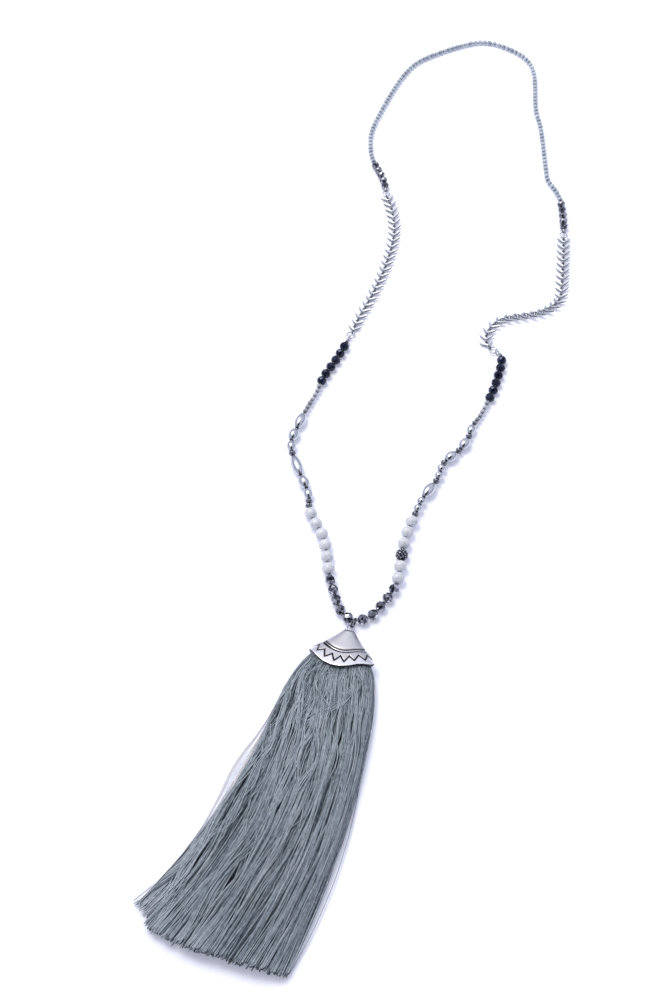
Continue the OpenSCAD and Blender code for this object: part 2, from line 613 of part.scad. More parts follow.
module tassel() {
    tops = concat(
        [for (h = head_shares) for (j = [0:across]) let (p = head_place(h * cap_slant, place(j)))
            [p[0], p[1], head_top(h * cap_slant, place(j))]],
        [for (row = skirt_rows) for (j = [0:across]) let (p = strand(place(j), lock_t(row, j)))
            [p[0], p[1], max(skirt_top(row, j), row[2] * cap_wall + skirt_edge)]]
    );
    unders = concat(
        [for (h = head_shares) for (j = [0:across]) let (p = head_place(h * cap_slant, place(j)))
            [p[0], p[1], head_under(h * cap_slant, place(j))]],
        [for (row = skirt_rows) for (j = [0:across]) let (p = strand(place(j), lock_t(row, j)))
            [p[0], p[1], row[2] * cap_wall]]
    );
    rows = len(head_shares) + len(skirt_rows);
    color("#8f9ba5") polyhedron(concat(tops, unders), slab_faces(rows, across + 1));
}
// Faces of a slab between a grid of top points and the same grid of under points
function slab_faces(rows, n) = let (u = rows * n) concat(
    [for (i = [0:rows - 2]) for (j = [0:n - 2]) let (a = i * n + j, b = a + 1, c = a + n + 1, d = a + n)
        each [[a, b, c], [a, c, d], [u + a, u + c, u + b], [u + a, u + d, u + c]]],
    [for (i = [0:rows - 2]) let (a = i * n, d = a + n, b = a + n - 1, c = b + n)
        each [[a, d, u + d], [a, u + d, u + a], [b, u + c, c], [b, u + b, u + c]]],
    [for (j = [0:n - 2]) let (a = j, b = j + 1, c = (rows - 1) * n + j, d = c + 1)
        each [[a, u + a, u + b], [a, u + b, b], [c, u + d, u + c], [c, d, u + d]]]
);

// Beads that are pieces of their own, by kind, side and number from the tassel
function spots(side, kind) = [for (i = [0:len(kinds_of(side)) - 1]) if (kinds_of(side)[i] == kind) i];
function letter(side) = side > 0 ? "l" : "r";
function names(side, kind) = [for (i = [1:len(spots(side, kind))]) str(kind, "_", letter(side), i)];

module named_bead(side, kind, k) {
    strung(side, spots(side, kind)[k]) {
            if (kind == "hematite") hematite_bead();
            if (kind == "howlite") howlite_bead();
            if (kind == "sparkle") sparkle_bead();
            if (kind == "glass") glass_bead();
        }
}
for (side = [1, -1]) for (kind = ["hematite", "howlite", "sparkle", "glass"])
    for (k = [0:1:len(spots(side, kind)) - 1]) named_bead(side, kind, k);
silver_beads(1);  // silver_beads_left
silver_beads(-1);  // silver_beads_right
spacer_beads(1);  // spacer_beads_left
spacer_beads(-1);  // spacer_beads_right
grey_seeds(1);  // grey_seeds_left
grey_seeds(-1);  // grey_seeds_right
fire_beads(1);  // fire_beads_left
fire_beads(-1);  // fire_beads_right
neck_seeds();
drop_thread();
neck_thread();
chain(1);  // chain_left
chain(-1);  // chain_right
jump_ring(1);  // jump_ring_left
jump_ring(-1);  // jump_ring_right
low_loop(1);  // low_loop_left
low_loop(-1);  // low_loop_right
high_loop(1);  // high_loop_left
high_loop(-1);  // high_loop_right
bail();
eye_pin();
tassel_cap();
tassel();
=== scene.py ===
import math

import bpy
import numpy as np
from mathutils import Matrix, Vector


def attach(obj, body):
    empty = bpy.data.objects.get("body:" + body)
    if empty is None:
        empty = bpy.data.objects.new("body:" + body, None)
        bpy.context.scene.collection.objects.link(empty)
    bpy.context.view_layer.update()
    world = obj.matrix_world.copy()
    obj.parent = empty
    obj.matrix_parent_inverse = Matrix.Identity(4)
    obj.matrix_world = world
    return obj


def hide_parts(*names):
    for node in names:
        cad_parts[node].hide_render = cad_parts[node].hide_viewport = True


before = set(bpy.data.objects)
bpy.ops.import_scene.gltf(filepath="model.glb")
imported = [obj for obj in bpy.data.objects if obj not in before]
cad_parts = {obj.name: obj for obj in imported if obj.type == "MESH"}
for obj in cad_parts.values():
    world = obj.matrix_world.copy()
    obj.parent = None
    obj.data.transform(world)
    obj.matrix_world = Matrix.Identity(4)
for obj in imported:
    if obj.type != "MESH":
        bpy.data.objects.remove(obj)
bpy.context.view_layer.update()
mm = 0.001

# Sizes of the string in millimetres, the same as the solids have
beads = {
    "hematiteD": 5.0, "howliteD": 5.9, "glassD": 5.0, "glassL": 4.6, "fireD": 4.4, "fireL": 3.9,
    "ovalD": 5.1, "ovalL": 7.5, "riceL": 9.8, "riceLongL": 12.2, "oliveD": 4.3, "oliveL": 6.0,
    "ballD": 4.1, "spacerD": 3.5, "spacerL": 2.1, "neckD": 2.9, "seedD": 2.8, "seedL": 2.4,
    "boreD": 1.2, "gap": 0.4,
}
chain = {
    "links": 23, "pitch": 4.45, "span": 7.1, "sweep": 2.3, "armW": 1.3, "thick": 0.7,
    "ringR": 1.05, "ringWire": 0.52, "play": 0.31, "wire": 0.5, "jumpR": 2.05, "lowLoopR": 1.6,
    "highLoopR": 1.9, "sleeveL": 1.6,
}
hanger = {"threadD": 0.6, "bailR": 2.2, "bailWire": 0.8, "bailPlay": 0.6, "eyeR": 1.7, "eyeWire": 0.9}

# The loop's route over the table, from the tassel along the left side, behind the neck and back
route = [
    (-16.5, -124.5), (-20.2, -122.8), (-23, -119.3), (-27.5, -103.5), (-29.5, -86), (-31.5, -78.5),
    (-36.5, -69), (-37.5, -62), (-37.5, -56.5), (-43, -42), (-46.5, -29), (-45.5, -23), (-39.5, -7),
    (-33.5, 6), (-31.5, 13), (-24, 26.5), (-17.5, 41), (-14.2, 51), (-6, 69.5), (1.1, 89), (5.6, 107),
    (6.9, 121), (5.2, 136), (3, 144), (2.5, 151), (0.5, 159), (-3.5, 170), (-5, 181), (-3.5, 198.5),
    (8, 229), (16, 245.5), (24.5, 257), (39.5, 266.5), (56.5, 274), (66.5, 275), (76.5, 271),
    (88, 261), (92.5, 246), (91, 215), (92.5, 198), (92.5, 164), (93, 155), (96.5, 147), (98.5, 135),
    (97.5, 111), (93, 74), (90.5, 65.5), (84.5, 59.5), (75.5, 56), (66.5, 54.5), (59, 52), (54, 47),
    (51.5, 41.5), (51.2, 38.2), (52.6, 34.8), (55.1, 31.6), (57.6, 29.1), (58.6, 26.2), (58.1, 22.5),
    (55.9, 15), (53, 6), (46, -9.3), (41, -17), (39.3, -22.5), (37.9, -27.3), (32.1, -33.3),
    (25.9, -39.5), (23.2, -48), (17.5, -56), (14, -63), (6.5, -82.5), (3.5, -101), (1, -108.5),
    (-7.5, -120.5), (-12, -123.8),
]
toMiddle = (0, 0.3)
# how far the chains' links lean, from the tassel up: link, degrees
rollRight = [(0, 0), (2, -8), (4, -16), (6, -22), (8, -24), (10, -22), (12, -16), (16, -5), (23, 0)]
rollLeft = [(0, 0), (3, 8), (12, 10), (20, 6), (23, 0)]
leftKinds = (
    ["hematite"] * 5 + ["howlite"] * 6
    + ["spacer", "spacer", "olive", "oval", "riceLong", "spacer", "olive", "oval", "rice"]
    + ["seed"] * 7 + ["glass"] * 6
)
rightKinds = (
    ["hematite"] * 5 + ["howlite"] * 2 + ["sparkle"] + ["howlite"] * 3
    + ["spacer", "ball", "ball", "rice", "spacer", "ball", "ball", "spacer", "oval", "spacer", "oval"]
    + ["spacer", "olive"] + ["seed"] * 6 + ["glass"] * 6
)
fireCount = 5
beadLengths = {
    "hematite": beads["hematiteD"], "howlite": beads["howliteD"], "sparkle": beads["howliteD"],
    "glass": beads["glassL"], "oval": beads["ovalL"], "rice": beads["riceL"],
    "riceLong": beads["riceLongL"], "olive": beads["oliveL"], "ball": beads["ballD"],
    "spacer": beads["spacerL"], "seed": beads["seedL"],
}
silverWidths = {
    "olive": beads["oliveD"], "ball": beads["ballD"], "oval": beads["ovalD"], "rice": beads["ovalD"],
    "riceLong": beads["ovalD"],
}

# The route as a smooth closed curve, measured from the tassel
stepsPerSpan = 6
traceList = []
for i in range(len(route)):
    a, b, c, d = (np.array(route[(i + k) % len(route)], float) + toMiddle for k in (-1, 0, 1, 2))
    for k in range(stepsPerSpan):
        t = k / stepsPerSpan
        traceList.append(0.5 * (2 * b + (c - a) * t + (2 * a - 5 * b + 4 * c - d) * t**2
                                + (3 * b - a - 3 * c + d) * t**3))
trace = np.array(traceList + [traceList[0]])
run = np.concatenate([[0], np.cumsum(np.linalg.norm(np.diff(trace, axis=0), axis=1))])
loopLength = run[-1]


def along(side, s):
    d = s if side > 0 else loopLength - s
    return np.array([np.interp(d, run, trace[:, 0]), np.interp(d, run, trace[:, 1])])


def startsOf(kinds):
    starts = [hanger["bailWire"] / 2 + hanger["bailPlay"]]
    for kind in kinds:
        starts.append(starts[-1] + beadLengths[kind] + beads["gap"])
    return starts


# side 1 is the left, side -1 the right
sides = {1: (leftKinds, startsOf(leftKinds)), -1: (rightKinds, startsOf(rightKinds))}
words = {1: "left", -1: "right"}
# places of the thread loops and rings, from the last bead up
ringSlack = 0.15
gripStart = 0.3
linkRoom = 0.4
lowLoopAt = gripStart + chain["sleeveL"] + chain["lowLoopR"]
jumpAt = lowLoopAt + chain["lowLoopR"] - chain["wire"] - linkRoom + chain["jumpR"]
hookUp = chain["ringR"] - chain["ringWire"] / 2 - chain["wire"] / 2 - ringSlack
highLoopAt = hookUp + chain["highLoopR"]
fireFrom = highLoopAt + chain["highLoopR"] + chain["sleeveL"] + gripStart
chainZ = chain["ringR"] + chain["ringWire"] / 2


def stringEnd(side):
    return sides[side][1][-1]


def chainStart(side):
    return stringEnd(side) + jumpAt + chain["jumpR"] + hookUp


def chainEnd(side):
    return chainStart(side) + chain["links"] * chain["pitch"]


def fireStart(side):
    return chainEnd(side) + fireFrom


def neckStart(side):
    return fireStart(side) + fireCount * (beads["fireL"] + beads["gap"])


# light seed runs sag a little between big beads, and rings stand a little off the table
seedSag = 0.5
ringStep = 0.1
ringRise = 0.15
neckSettle = 8


def heightTable(side):
    # height of the thread along the string
    kinds, starts = sides[side]
    howlite, silver, seed, glass = (starts[kinds.index(k)] for k in ("howlite", "spacer", "seed", "glass"))
    end = stringEnd(side)
    rows = [
        (0, beads["hematiteD"] / 2), (howlite - beads["gap"], beads["howliteD"] / 2),
        (silver, beads["howliteD"] / 2), (seed, beads["ovalD"] / 2),
        ((seed + glass) / 2, beads["ovalD"] / 2 - seedSag), (glass - beads["gap"], beads["glassD"] / 2),
        (end, beads["glassD"] / 2), (end + lowLoopAt, chain["lowLoopR"] + chain["wire"] / 2),
        (end + lowLoopAt + ringStep, chainZ + ringRise), (chainStart(side), chainZ),
        (chainEnd(side), chainZ), (fireStart(side) - beads["gap"], beads["fireD"] / 2),
        (neckStart(side) + beads["gap"], beads["fireD"] / 2),
        (neckStart(side) + neckSettle, beads["neckD"] / 2),
    ]
    return np.array(rows).T


heights = {1: heightTable(1), -1: heightTable(-1)}


def at(side, s):
    return np.append(along(side, s), np.interp(s, *heights[side]))


def place(points, p, q, roll=0.0):
    # lays points, whose length is X, halfway between p and q
    d = q - p
    x = d / np.linalg.norm(d)
    heading = math.atan2(d[1], d[0])
    y = np.array([-math.sin(heading), math.cos(heading), 0])
    z = np.cross(x, y)
    c, s = math.cos(roll), math.sin(roll)
    across = points[:, 1] * c - points[:, 2] * s
    up = points[:, 1] * s + points[:, 2] * c
    return (p + q) / 2 + np.outer(points[:, 0], x) + np.outer(across, y) + np.outer(up, z)


def strung(side, i):
    kinds, starts = sides[side]
    half = beads["gap"] / 2
    return at(side, starts[i] - half), at(side, starts[i] + beadLengths[kinds[i]] + half)


def spotsOf(side, *names):
    return [i for i, kind in enumerate(sides[side][0]) if kind in names]


print("the string is laid out: loop %.0f mm" % loopLength)


# Mesh and node helpers

def linear(hexColour):
    # sRGB hex to linear
    values = [int(hexColour[i:i + 2], 16) / 255 for i in (1, 3, 5)]
    return tuple(v / 12.92 if v <= 0.04045 else ((v + 0.055) / 1.055) ** 2.4 for v in values) + (1.0,)


def addNode(tree, kind, inputs=None, stops=(), **settings):
    # one node: its settings, for each input a value or the socket that feeds it, and a ramp's colours
    node = tree.nodes.new(kind)
    for key, value in settings.items():
        setattr(node, key, value)
    for key, value in (inputs or {}).items():
        if isinstance(value, bpy.types.NodeSocket):
            tree.links.new(value, node.inputs[key])
        else:
            node.inputs[key].default_value = value
    for k, (position, colour) in enumerate(stops):
        if k == len(node.color_ramp.elements):
            node.color_ramp.elements.new(1.0)
        node.color_ramp.elements[k].position = position
        node.color_ramp.elements[k].color = linear(colour)
    return node


def newMaterial(name, values):
    # a material whose shader has these plain values
    material = bpy.data.materials.new(name)
    material.use_nodes = True
    tree = material.node_tree
    tree.nodes.clear()
    shader = addNode(tree, "ShaderNodeBsdfPrincipled", values)
    addNode(tree, "ShaderNodeOutputMaterial", {"Surface": shader.outputs[0]})
    return material, tree, shader


def makeMesh(name, parts):
    # each part has points in mm, faces by number of corners, and may have tone and deep per point
    points, corners, totals, values, base = [], [], [], {"tone": [], "deep": []}, 0
    for part in parts:
        count = len(part["points"])
        points.append(part["points"])
        for face in part["faces"]:
            face = np.asarray(face)
            corners.append((face + base).ravel())
            totals.append(np.full(len(face), face.shape[1]))
        for key, usual in (("tone", 0.5), ("deep", 0.0)):
            values[key].append(np.broadcast_to(part.get(key, usual), count).astype(np.float32))
        base += count
    corners = np.concatenate(corners).astype(np.int32)
    totals = np.concatenate(totals).astype(np.int32)
    mesh = bpy.data.meshes.new(name)
    mesh.vertices.add(base)
    mesh.vertices.foreach_set("co", (np.vstack(points) * mm).astype(np.float32).ravel())
    mesh.loops.add(len(corners))
    mesh.loops.foreach_set("vertex_index", corners)
    mesh.polygons.add(len(totals))
    firsts = np.concatenate([[0], np.cumsum(totals)[:-1]])
    mesh.polygons.foreach_set("loop_start", firsts.astype(np.int32))
    mesh.update(calc_edges=True)
    for key, lists in values.items():
        mesh.attributes.new(key, "FLOAT", "POINT").data.foreach_set("value", np.concatenate(lists))
    return mesh


def addPiece(name, parts, material, replaced, smooth=True):
    mesh = makeMesh(name, parts)
    mesh.polygons.foreach_set("use_smooth", np.full(len(mesh.polygons), smooth))
    mesh.materials.append(material)
    piece = bpy.data.objects.new(name, mesh)
    bpy.context.scene.collection.objects.link(piece)
    if replaced:
        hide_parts(*replaced)
    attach(piece, "root")


def gridFaces(rows, columns, closedRows=False):
    # quads over a grid of points, closed along each row
    i = np.arange(rows if closedRows else rows - 1)
    i, j = (v.ravel() for v in np.meshgrid(i, np.arange(columns), indexing="ij"))
    k = (i + 1) % rows
    m = (j + 1) % columns
    return np.stack([i * columns + j, k * columns + j, k * columns + m, i * columns + m], axis=1)


def turned(outline, count):
    # an outline of (x, radius) rows turned about X, closed along its bore
    x, r = np.repeat(np.array(outline, float), count, axis=0).T
    a = np.tile(np.arange(count) * 2 * math.pi / count, len(outline))
    points = np.stack([x, r * np.cos(a), r * np.sin(a)], axis=1)
    return {"points": points, "faces": [gridFaces(len(outline), count, closedRows=True)]}


def moved(part, p, q, roll=0.0, **values):
    return {**part, "points": place(part["points"], p, q, roll), **values}


rng = np.random.default_rng(20)


def anyRoll():
    # a full turn at random, for a bead that may sit any way round on its thread
    return rng.uniform(0, 6.28)


# Camera, floor and light

view = {"place": (-0.026, -0.4257, 0.537), "pitch": 55.6, "lens": 50, "sensor": 36, "near": 0.01}
camera = bpy.data.objects.new("camera", bpy.data.cameras.new("camera"))
camera.location = view["place"]
camera.rotation_euler = (math.radians(90 - view["pitch"]), 0, 0)
camera.data.lens = view["lens"]
camera.data.sensor_width = view["sensor"]
camera.data.clip_start = view["near"]
bpy.context.scene.collection.objects.link(camera)
bpy.context.scene.camera = camera
bpy.context.scene.view_settings.view_transform = "Standard"

studio = {
    "floorReach": 6.0, "floorColour": "#ECEEF8", "glow": "#EEF0FF", "glowStrength": 0.24,
    "tent": "#EAEEFD", "tentStrength": 0.98, "dark": "#15161C", "holeFrom": 0.93, "tentTo": 0.8,
    "wall": "#A6AAB6", "wallFrom": 0.18, "wallTo": 0.5, "top": "#FFFFFF",
    "keyPower": 13.5, "keySize": 0.7, "keyPlace": (-0.44, 0.44, 1.3), "keyColour": "#FFF9F0",
}
floorMesh = bpy.data.meshes.new("floor")
reach = studio["floorReach"]
floorCorners = [(-reach, -reach, 0), (reach, -reach, 0), (reach, reach, 0), (-reach, reach, 0)]
floorMesh.from_pydata(floorCorners, [], [(0, 1, 2, 3)])
floor = bpy.data.objects.new("floor", floorMesh)
bpy.context.scene.collection.objects.link(floor)
# opal acrylic, cast and sanded: matt white, lit a little from beneath, so that shadows stay faint on it
floorMesh.materials.append(newMaterial("lit_acrylic_table", {
    "Base Color": linear(studio["floorColour"]), "Roughness": 0.9, "Specular IOR Level": 0.1,
    "Emission Color": linear(studio["glow"]), "Emission Strength": studio["glowStrength"],
})[0])

world = bpy.data.worlds.new("tent")
bpy.context.scene.world = world
world.use_nodes = True
sky = world.node_tree
sky.nodes.clear()
# a white light tent with a dark hole for the camera
ray = addNode(sky, "ShaderNodeTexCoord").outputs["Generated"]
holeWay = Vector((0, -math.cos(math.radians(view["pitch"])), math.sin(math.radians(view["pitch"]))))
towards = addNode(sky, "ShaderNodeVectorMath", {0: ray, 1: holeWay}, operation="DOT_PRODUCT")
tent = addNode(sky, "ShaderNodeValToRGB", {"Fac": towards.outputs["Value"]}, [
    (0.0, studio["tent"]), (studio["tentTo"], studio["tent"]), (studio["holeFrom"], studio["dark"]),
    (1.0, studio["dark"]),
])
# the cloth is greyer towards the table, where less light falls on it
height = addNode(sky, "ShaderNodeSeparateXYZ", {0: ray})
walls = addNode(sky, "ShaderNodeValToRGB", {"Fac": height.outputs["Z"]}, [
    (0.0, studio["wall"]), (studio["wallFrom"], studio["wall"]), (studio["wallTo"], studio["top"]),
    (1.0, studio["top"]),
])
lit = addNode(sky, "ShaderNodeMix", {
    "Factor": 1.0, 6: tent.outputs["Color"], 7: walls.outputs["Color"],
}, data_type="RGBA", blend_type="MULTIPLY")
background = addNode(sky, "ShaderNodeBackground", {
    "Color": lit.outputs[2], "Strength": studio["tentStrength"]})
addNode(sky, "ShaderNodeOutputWorld", {"Surface": background.outputs[0]})

key = bpy.data.objects.new("key", bpy.data.lights.new("key", "AREA"))
key.data.energy = studio["keyPower"]
key.data.size = studio["keySize"]
key.data.color = linear(studio["keyColour"])[:3]
key.location = studio["keyPlace"]
key.rotation_euler = (Vector((0, 0, 0)) - key.location).to_track_quat("-Z", "Y").to_euler()
bpy.context.scene.collection.objects.link(key)
print("camera, floor and light are set")


# Materials of the beads

def makeHematite(name, dark, middle, light):
    # hematite, cut and tumble polished: a dark grey mirror, each facet turned to another part of the room,
    # with a painted reflection in each facet's tone
    material, tree, shader = newMaterial(name, {"Metallic": 1.0})
    tone = addNode(tree, "ShaderNodeAttribute", attribute_name="tone").outputs["Fac"]
    colour = addNode(tree, "ShaderNodeValToRGB", {"Fac": tone}, [(0.0, dark), (0.5, middle), (1.0, light)])
    spot = addNode(tree, "ShaderNodeTexCoord").outputs["Object"]
    # polish clouds of about 1 mm
    cloud = addNode(tree, "ShaderNodeTexNoise", {"Vector": spot, "Scale": 900.0, "Detail": 3.0})
    rough = addNode(tree, "ShaderNodeMapRange", {
        "Value": cloud.outputs["Fac"], "To Min": 0.05, "To Max": 0.2})
    tree.links.new(colour.outputs["Color"], shader.inputs["Base Color"])
    tree.links.new(rough.outputs["Result"], shader.inputs["Roughness"])
    return material


def makeHowlite():
    # howlite, tumbled and waxed: off white stone with thin grey veins under a soft gloss
    material, tree, shader = newMaterial("waxed_howlite", {
        "Roughness": 0.28, "IOR": 1.59, "Subsurface Weight": 0.12, "Subsurface Radius": (0.8 * mm,) * 3})
    spot = addNode(tree, "ShaderNodeTexCoord").outputs["Object"]
    drift = addNode(tree, "ShaderNodeTexNoise", {"Vector": spot, "Scale": 260.0, "Detail": 4.0})
    bent = addNode(tree, "ShaderNodeMix", {"Factor": 0.006, 4: spot, 5: drift.outputs["Color"]},
                   data_type="VECTOR")
    # veins about 5 mm apart, seen as a faint grey line on some of the beads
    cells = addNode(tree, "ShaderNodeTexVoronoi", {"Vector": bent.outputs[1], "Scale": 190.0},
                    feature="DISTANCE_TO_EDGE")
    veins = addNode(tree, "ShaderNodeValToRGB", {"Fac": cells.outputs["Distance"]}, [
        (0.0, "#B4B7C0"), (0.03, "#CDD0D7"), (0.08, "#D9DBE1")])
    tree.links.new(veins.outputs["Color"], shader.inputs["Base Color"])
    return material


def makeGlass():
    # opaque black pressed glass, fire polished: near black with a blue cast and hard small glints, and a
    # painted reflection in each facet's tone
    material, tree, shader = newMaterial("black_pressed_glass", {
        "Roughness": 0.08, "IOR": 1.52, "Specular Tint": linear("#C9D6FF")})
    tone = addNode(tree, "ShaderNodeAttribute", attribute_name="tone").outputs["Fac"]
    colour = addNode(tree, "ShaderNodeValToRGB", {"Fac": tone}, [
        (0.0, "#010206"), (0.6, "#070C1E"), (1.0, "#1C2848")])
    tree.links.new(colour.outputs["Color"], shader.inputs["Base Color"])
    return material


def makeSilver(name, bright, dark, roughLow, roughHigh, smears=0.35):
    # cast silver, oxidised and buffed back: bright where it was rubbed, black left in the hollows; on the
    # chain and the cap some of the black is painted shade
    material, tree, shader = newMaterial(name, {"Metallic": 1.0})
    spot = addNode(tree, "ShaderNodeTexCoord").outputs["Object"]
    deep = addNode(tree, "ShaderNodeAttribute", attribute_name="deep").outputs["Fac"]
    # blotches of about 1.5 mm
    blotch = addNode(tree, "ShaderNodeTexNoise", {"Vector": spot, "Scale": 620.0, "Detail": 5.0})
    smear = addNode(tree, "ShaderNodeMapRange", {
        "Value": blotch.outputs["Fac"], "From Min": 0.5, "From Max": 0.72, "To Min": 0.0, "To Max": smears})
    tarnishAndShade = addNode(tree, "ShaderNodeMath", {0: deep, 1: smear.outputs["Result"]},
                      operation="ADD", use_clamp=True)
    colour = addNode(tree, "ShaderNodeValToRGB", {"Fac": tarnishAndShade.outputs[0]}, [(0.0, bright), (1.0, dark)])
    tree.links.new(colour.outputs["Color"], shader.inputs["Base Color"])
    rough = addNode(tree, "ShaderNodeMapRange", {
        "Value": tarnishAndShade.outputs[0], "To Min": roughLow, "To Max": roughHigh})
    tree.links.new(rough.outputs["Result"], shader.inputs["Roughness"])
    return material


def makeSeed(name, dark, light):
    # clear seed glass with a worn lustre, drawn and tumbled: pale, a soft gleam, light pools in it
    material, tree, shader = newMaterial(name, {
        "Roughness": 0.32, "IOR": 1.5, "Transmission Weight": 0.2, "Coat Weight": 0.2,
        "Coat Roughness": 0.15})
    tone = addNode(tree, "ShaderNodeAttribute", attribute_name="tone").outputs["Fac"]
    colour = addNode(tree, "ShaderNodeValToRGB", {"Fac": tone}, [(0.0, dark), (1.0, light)])
    tree.links.new(colour.outputs["Color"], shader.inputs["Base Color"])
    return material


hematiteMaterial = makeHematite("polished_hematite", "#24252B", "#7C7E89", "#E0E2EA")
# smoke glass, fire polished, with a metal lustre on it: glints as hematite does, with painted reflections
# in its facets' tones, a little paler
fireMaterial = makeHematite("smoke_fire_glass", "#3A3C45", "#6E707A", "#C4C6D0")
howliteMaterial = makeHowlite()
glassMaterial = makeGlass()
silverMaterial = makeSilver("polished_silver", "#CDD0D7", "#3F4149", 0.2, 0.45, 0.4)
spacerMaterial = makeSilver("oxidised_silver", "#A4A7B0", "#2A2C33", 0.25, 0.5)
chainMaterial = makeSilver("plated_chain", "#D8DCE1", "#6A707A", 0.28, 0.45, 0.15)
wireMaterial = makeSilver("drawn_wire", "#A9ABB3", "#3C3E46", 0.18, 0.4)
bailMaterial = makeSilver("dark_wire", "#5A5C64", "#1E1F24", 0.2, 0.4)
eyeMaterial = makeSilver("satin_wire", "#B4B4D0", "#5A5A74", 0.3, 0.45)
neckMaterial = makeSeed("pale_seed_glass", "#99A4B3", "#C3CDD7")
seedMaterial = makeSeed("grey_seed_glass", "#6E747E", "#BCC1CA")
print("bead materials are made")


# Beads

# facets round a bead, radii of its rings of corners, and how unlike the facets' tones are, each facet's
# tone a painted reflection
cut = {
    "facets": 8, "rings": [0.42, 0.84, 1.0, 0.84, 0.42],
    "hematiteReflections": 0.34, "glassReflections": 0.3, "fireReflections": 0.3,
}


def facetRows(length, width, count):
    # rings of corners on the bead's round form, each turned half a facet from the last
    rings = []
    for k, share in enumerate(cut["rings"]):
        x = np.sign(k - (len(cut["rings"]) - 1) / 2) * math.sqrt(1 - share**2) * length / 2
        a = (np.arange(count) + 0.5 * (k % 2)) * 2 * math.pi / count
        r = share * width / 2
        rings.append(np.stack([np.full(count, x), r * np.cos(a), r * np.sin(a)], 1))
    return rings


def cutBead(length, width):
    count = cut["facets"]
    rings = facetRows(length, width, count)
    inner = beads["boreD"] / 2
    ends = []
    for ring in (rings[0], rings[-1]):
        end = ring.copy()
        end[:, 1:] *= inner / np.linalg.norm(end[:, 1:], axis=1)[:, None]
        ends.append(end)
    points = np.vstack([ends[0]] + rings + [ends[1]])
    j = np.arange(count)
    n = (j + 1) % count
    triangles = []
    for k in range(1, len(rings)):
        a, b = k * count, (k + 1) * count
        if k % 2:
            triangles += [np.stack([a + j, b + j, a + n], 1), np.stack([a + n, b + j, b + n], 1)]
        else:
            triangles += [np.stack([a + j, b + j, b + n], 1), np.stack([a + j, b + n, a + n], 1)]
    # the flats round both mouths, and the bore
    last = (len(rings) + 1) * count
    bands = ((0, count), (last - count, last), (last, 0))
    quads = [np.stack([a + j, b + j, b + n, a + n], 1) for a, b in bands]
    return {"points": points, "faces": [np.vstack(triangles)] + quads}


def facetted(bead, p, q, spread):
    # the bead with every facet's corners apart, so that each facet has a tone of its own: a painted
    # reflection, lighter or darker at random
    spot = place(bead["points"], p, q, anyRoll())
    faces, points, tone, base = [], [], [], 0
    for face in bead["faces"]:
        own = np.clip(rng.normal(0.5, spread, len(face)), 0, 1)
        points.append(spot[face].reshape(-1, 3))
        tone.append(np.repeat(own, face.shape[1]))
        faces.append(np.arange(base, base + face.size).reshape(face.shape))
        base += face.size
    return {"points": np.vstack(points), "faces": faces, "tone": np.concatenate(tone)}


def roundOutline(width, rows=24, mouth=0.15):
    # half circle from bore to bore, with the mouths rounded over
    bore = beads["boreD"] / 2
    reach = math.acos((bore + mouth) / (width / 2))
    outline = [(width / 2 * math.sin(a), width / 2 * math.cos(a)) for a in np.linspace(-reach, reach, rows)]
    inside = outline[-1][0] - mouth
    return [(-inside, bore)] + outline + [(inside, bore)]


def ovalOutline(length, width, rows):
    bore = beads["boreD"] / 2
    fullness = 0.75  # 0.5 would be an ellipse, 1 a parabola
    x = np.linspace(-1, 1, rows)
    return np.stack([x * length / 2, bore + (width / 2 - bore) * (1 - x * x) ** fullness], 1)


def beadNames(kind):
    return ["%s_%s%d" % (kind, words[side][0], k + 1)
            for side in (1, -1) for k in range(len(spotsOf(side, kind)))]


hematiteParts, glassParts, howliteParts = [], [], []
fireParts = {1: [], -1: []}
hematiteCut = cutBead(beads["hematiteD"], beads["hematiteD"])
glassCut = cutBead(beads["glassL"], beads["glassD"])
fireCut = cutBead(beads["fireL"], beads["fireD"])
howliteTurned = turned(roundOutline(beads["howliteD"]), 40)
for side in (1, -1):
    for i in spotsOf(side, "hematite"):
        hematiteParts.append(facetted(hematiteCut, *strung(side, i), cut["hematiteReflections"]))
    for i in spotsOf(side, "glass"):
        glassParts.append(facetted(glassCut, *strung(side, i), cut["glassReflections"]))
    for i in spotsOf(side, "howlite"):
        howliteParts.append(moved(howliteTurned, *strung(side, i), anyRoll()))
    for k in range(fireCount):
        s = fireStart(side) + k * (beads["fireL"] + beads["gap"])
        ends = at(side, s - beads["gap"] / 2), at(side, s + beads["fireL"] + beads["gap"] / 2)
        fireParts[side].append(facetted(fireCut, *ends, cut["fireReflections"]))
addPiece("hematite_beads", hematiteParts, hematiteMaterial, beadNames("hematite"), smooth=False)
addPiece("glass_beads", glassParts, glassMaterial, beadNames("glass"), smooth=False)
addPiece("howlite_beads", howliteParts, howliteMaterial, beadNames("howlite"))
for side, word in words.items():
    addPiece("fire_polished_" + word, fireParts[side], fireMaterial, ["fire_beads_" + word],
             smooth=False)
print("round beads are strung")


# Silver beads: smooth polished ovals with dark mouths, and grained spacers

silver = {"darkMouth": 0.07, "grains": 8, "grainDeep": 0.12}


def polishedOval(length, width):
    part = turned(ovalOutline(length, width, 25), 32)
    # dark where the bore's edge never met the polishing cloth
    part["deep"] = np.exp(-((np.abs(part["points"][:, 0]) / (length / 2) - 1) / silver["darkMouth"]) ** 2)
    return part


def spacerBead():
    part = turned(ovalOutline(beads["spacerL"], beads["spacerD"], 17), 24)
    points = part["points"]
    a = np.arctan2(points[:, 2], points[:, 1])
    # a ring of small grains with black between them
    part["deep"] = np.clip(0.5 - 0.5 * np.cos(a * silver["grains"]), 0, 1) ** 2
    points[:, 1:] *= (1 - silver["grainDeep"] * part["deep"])[:, None]
    return part


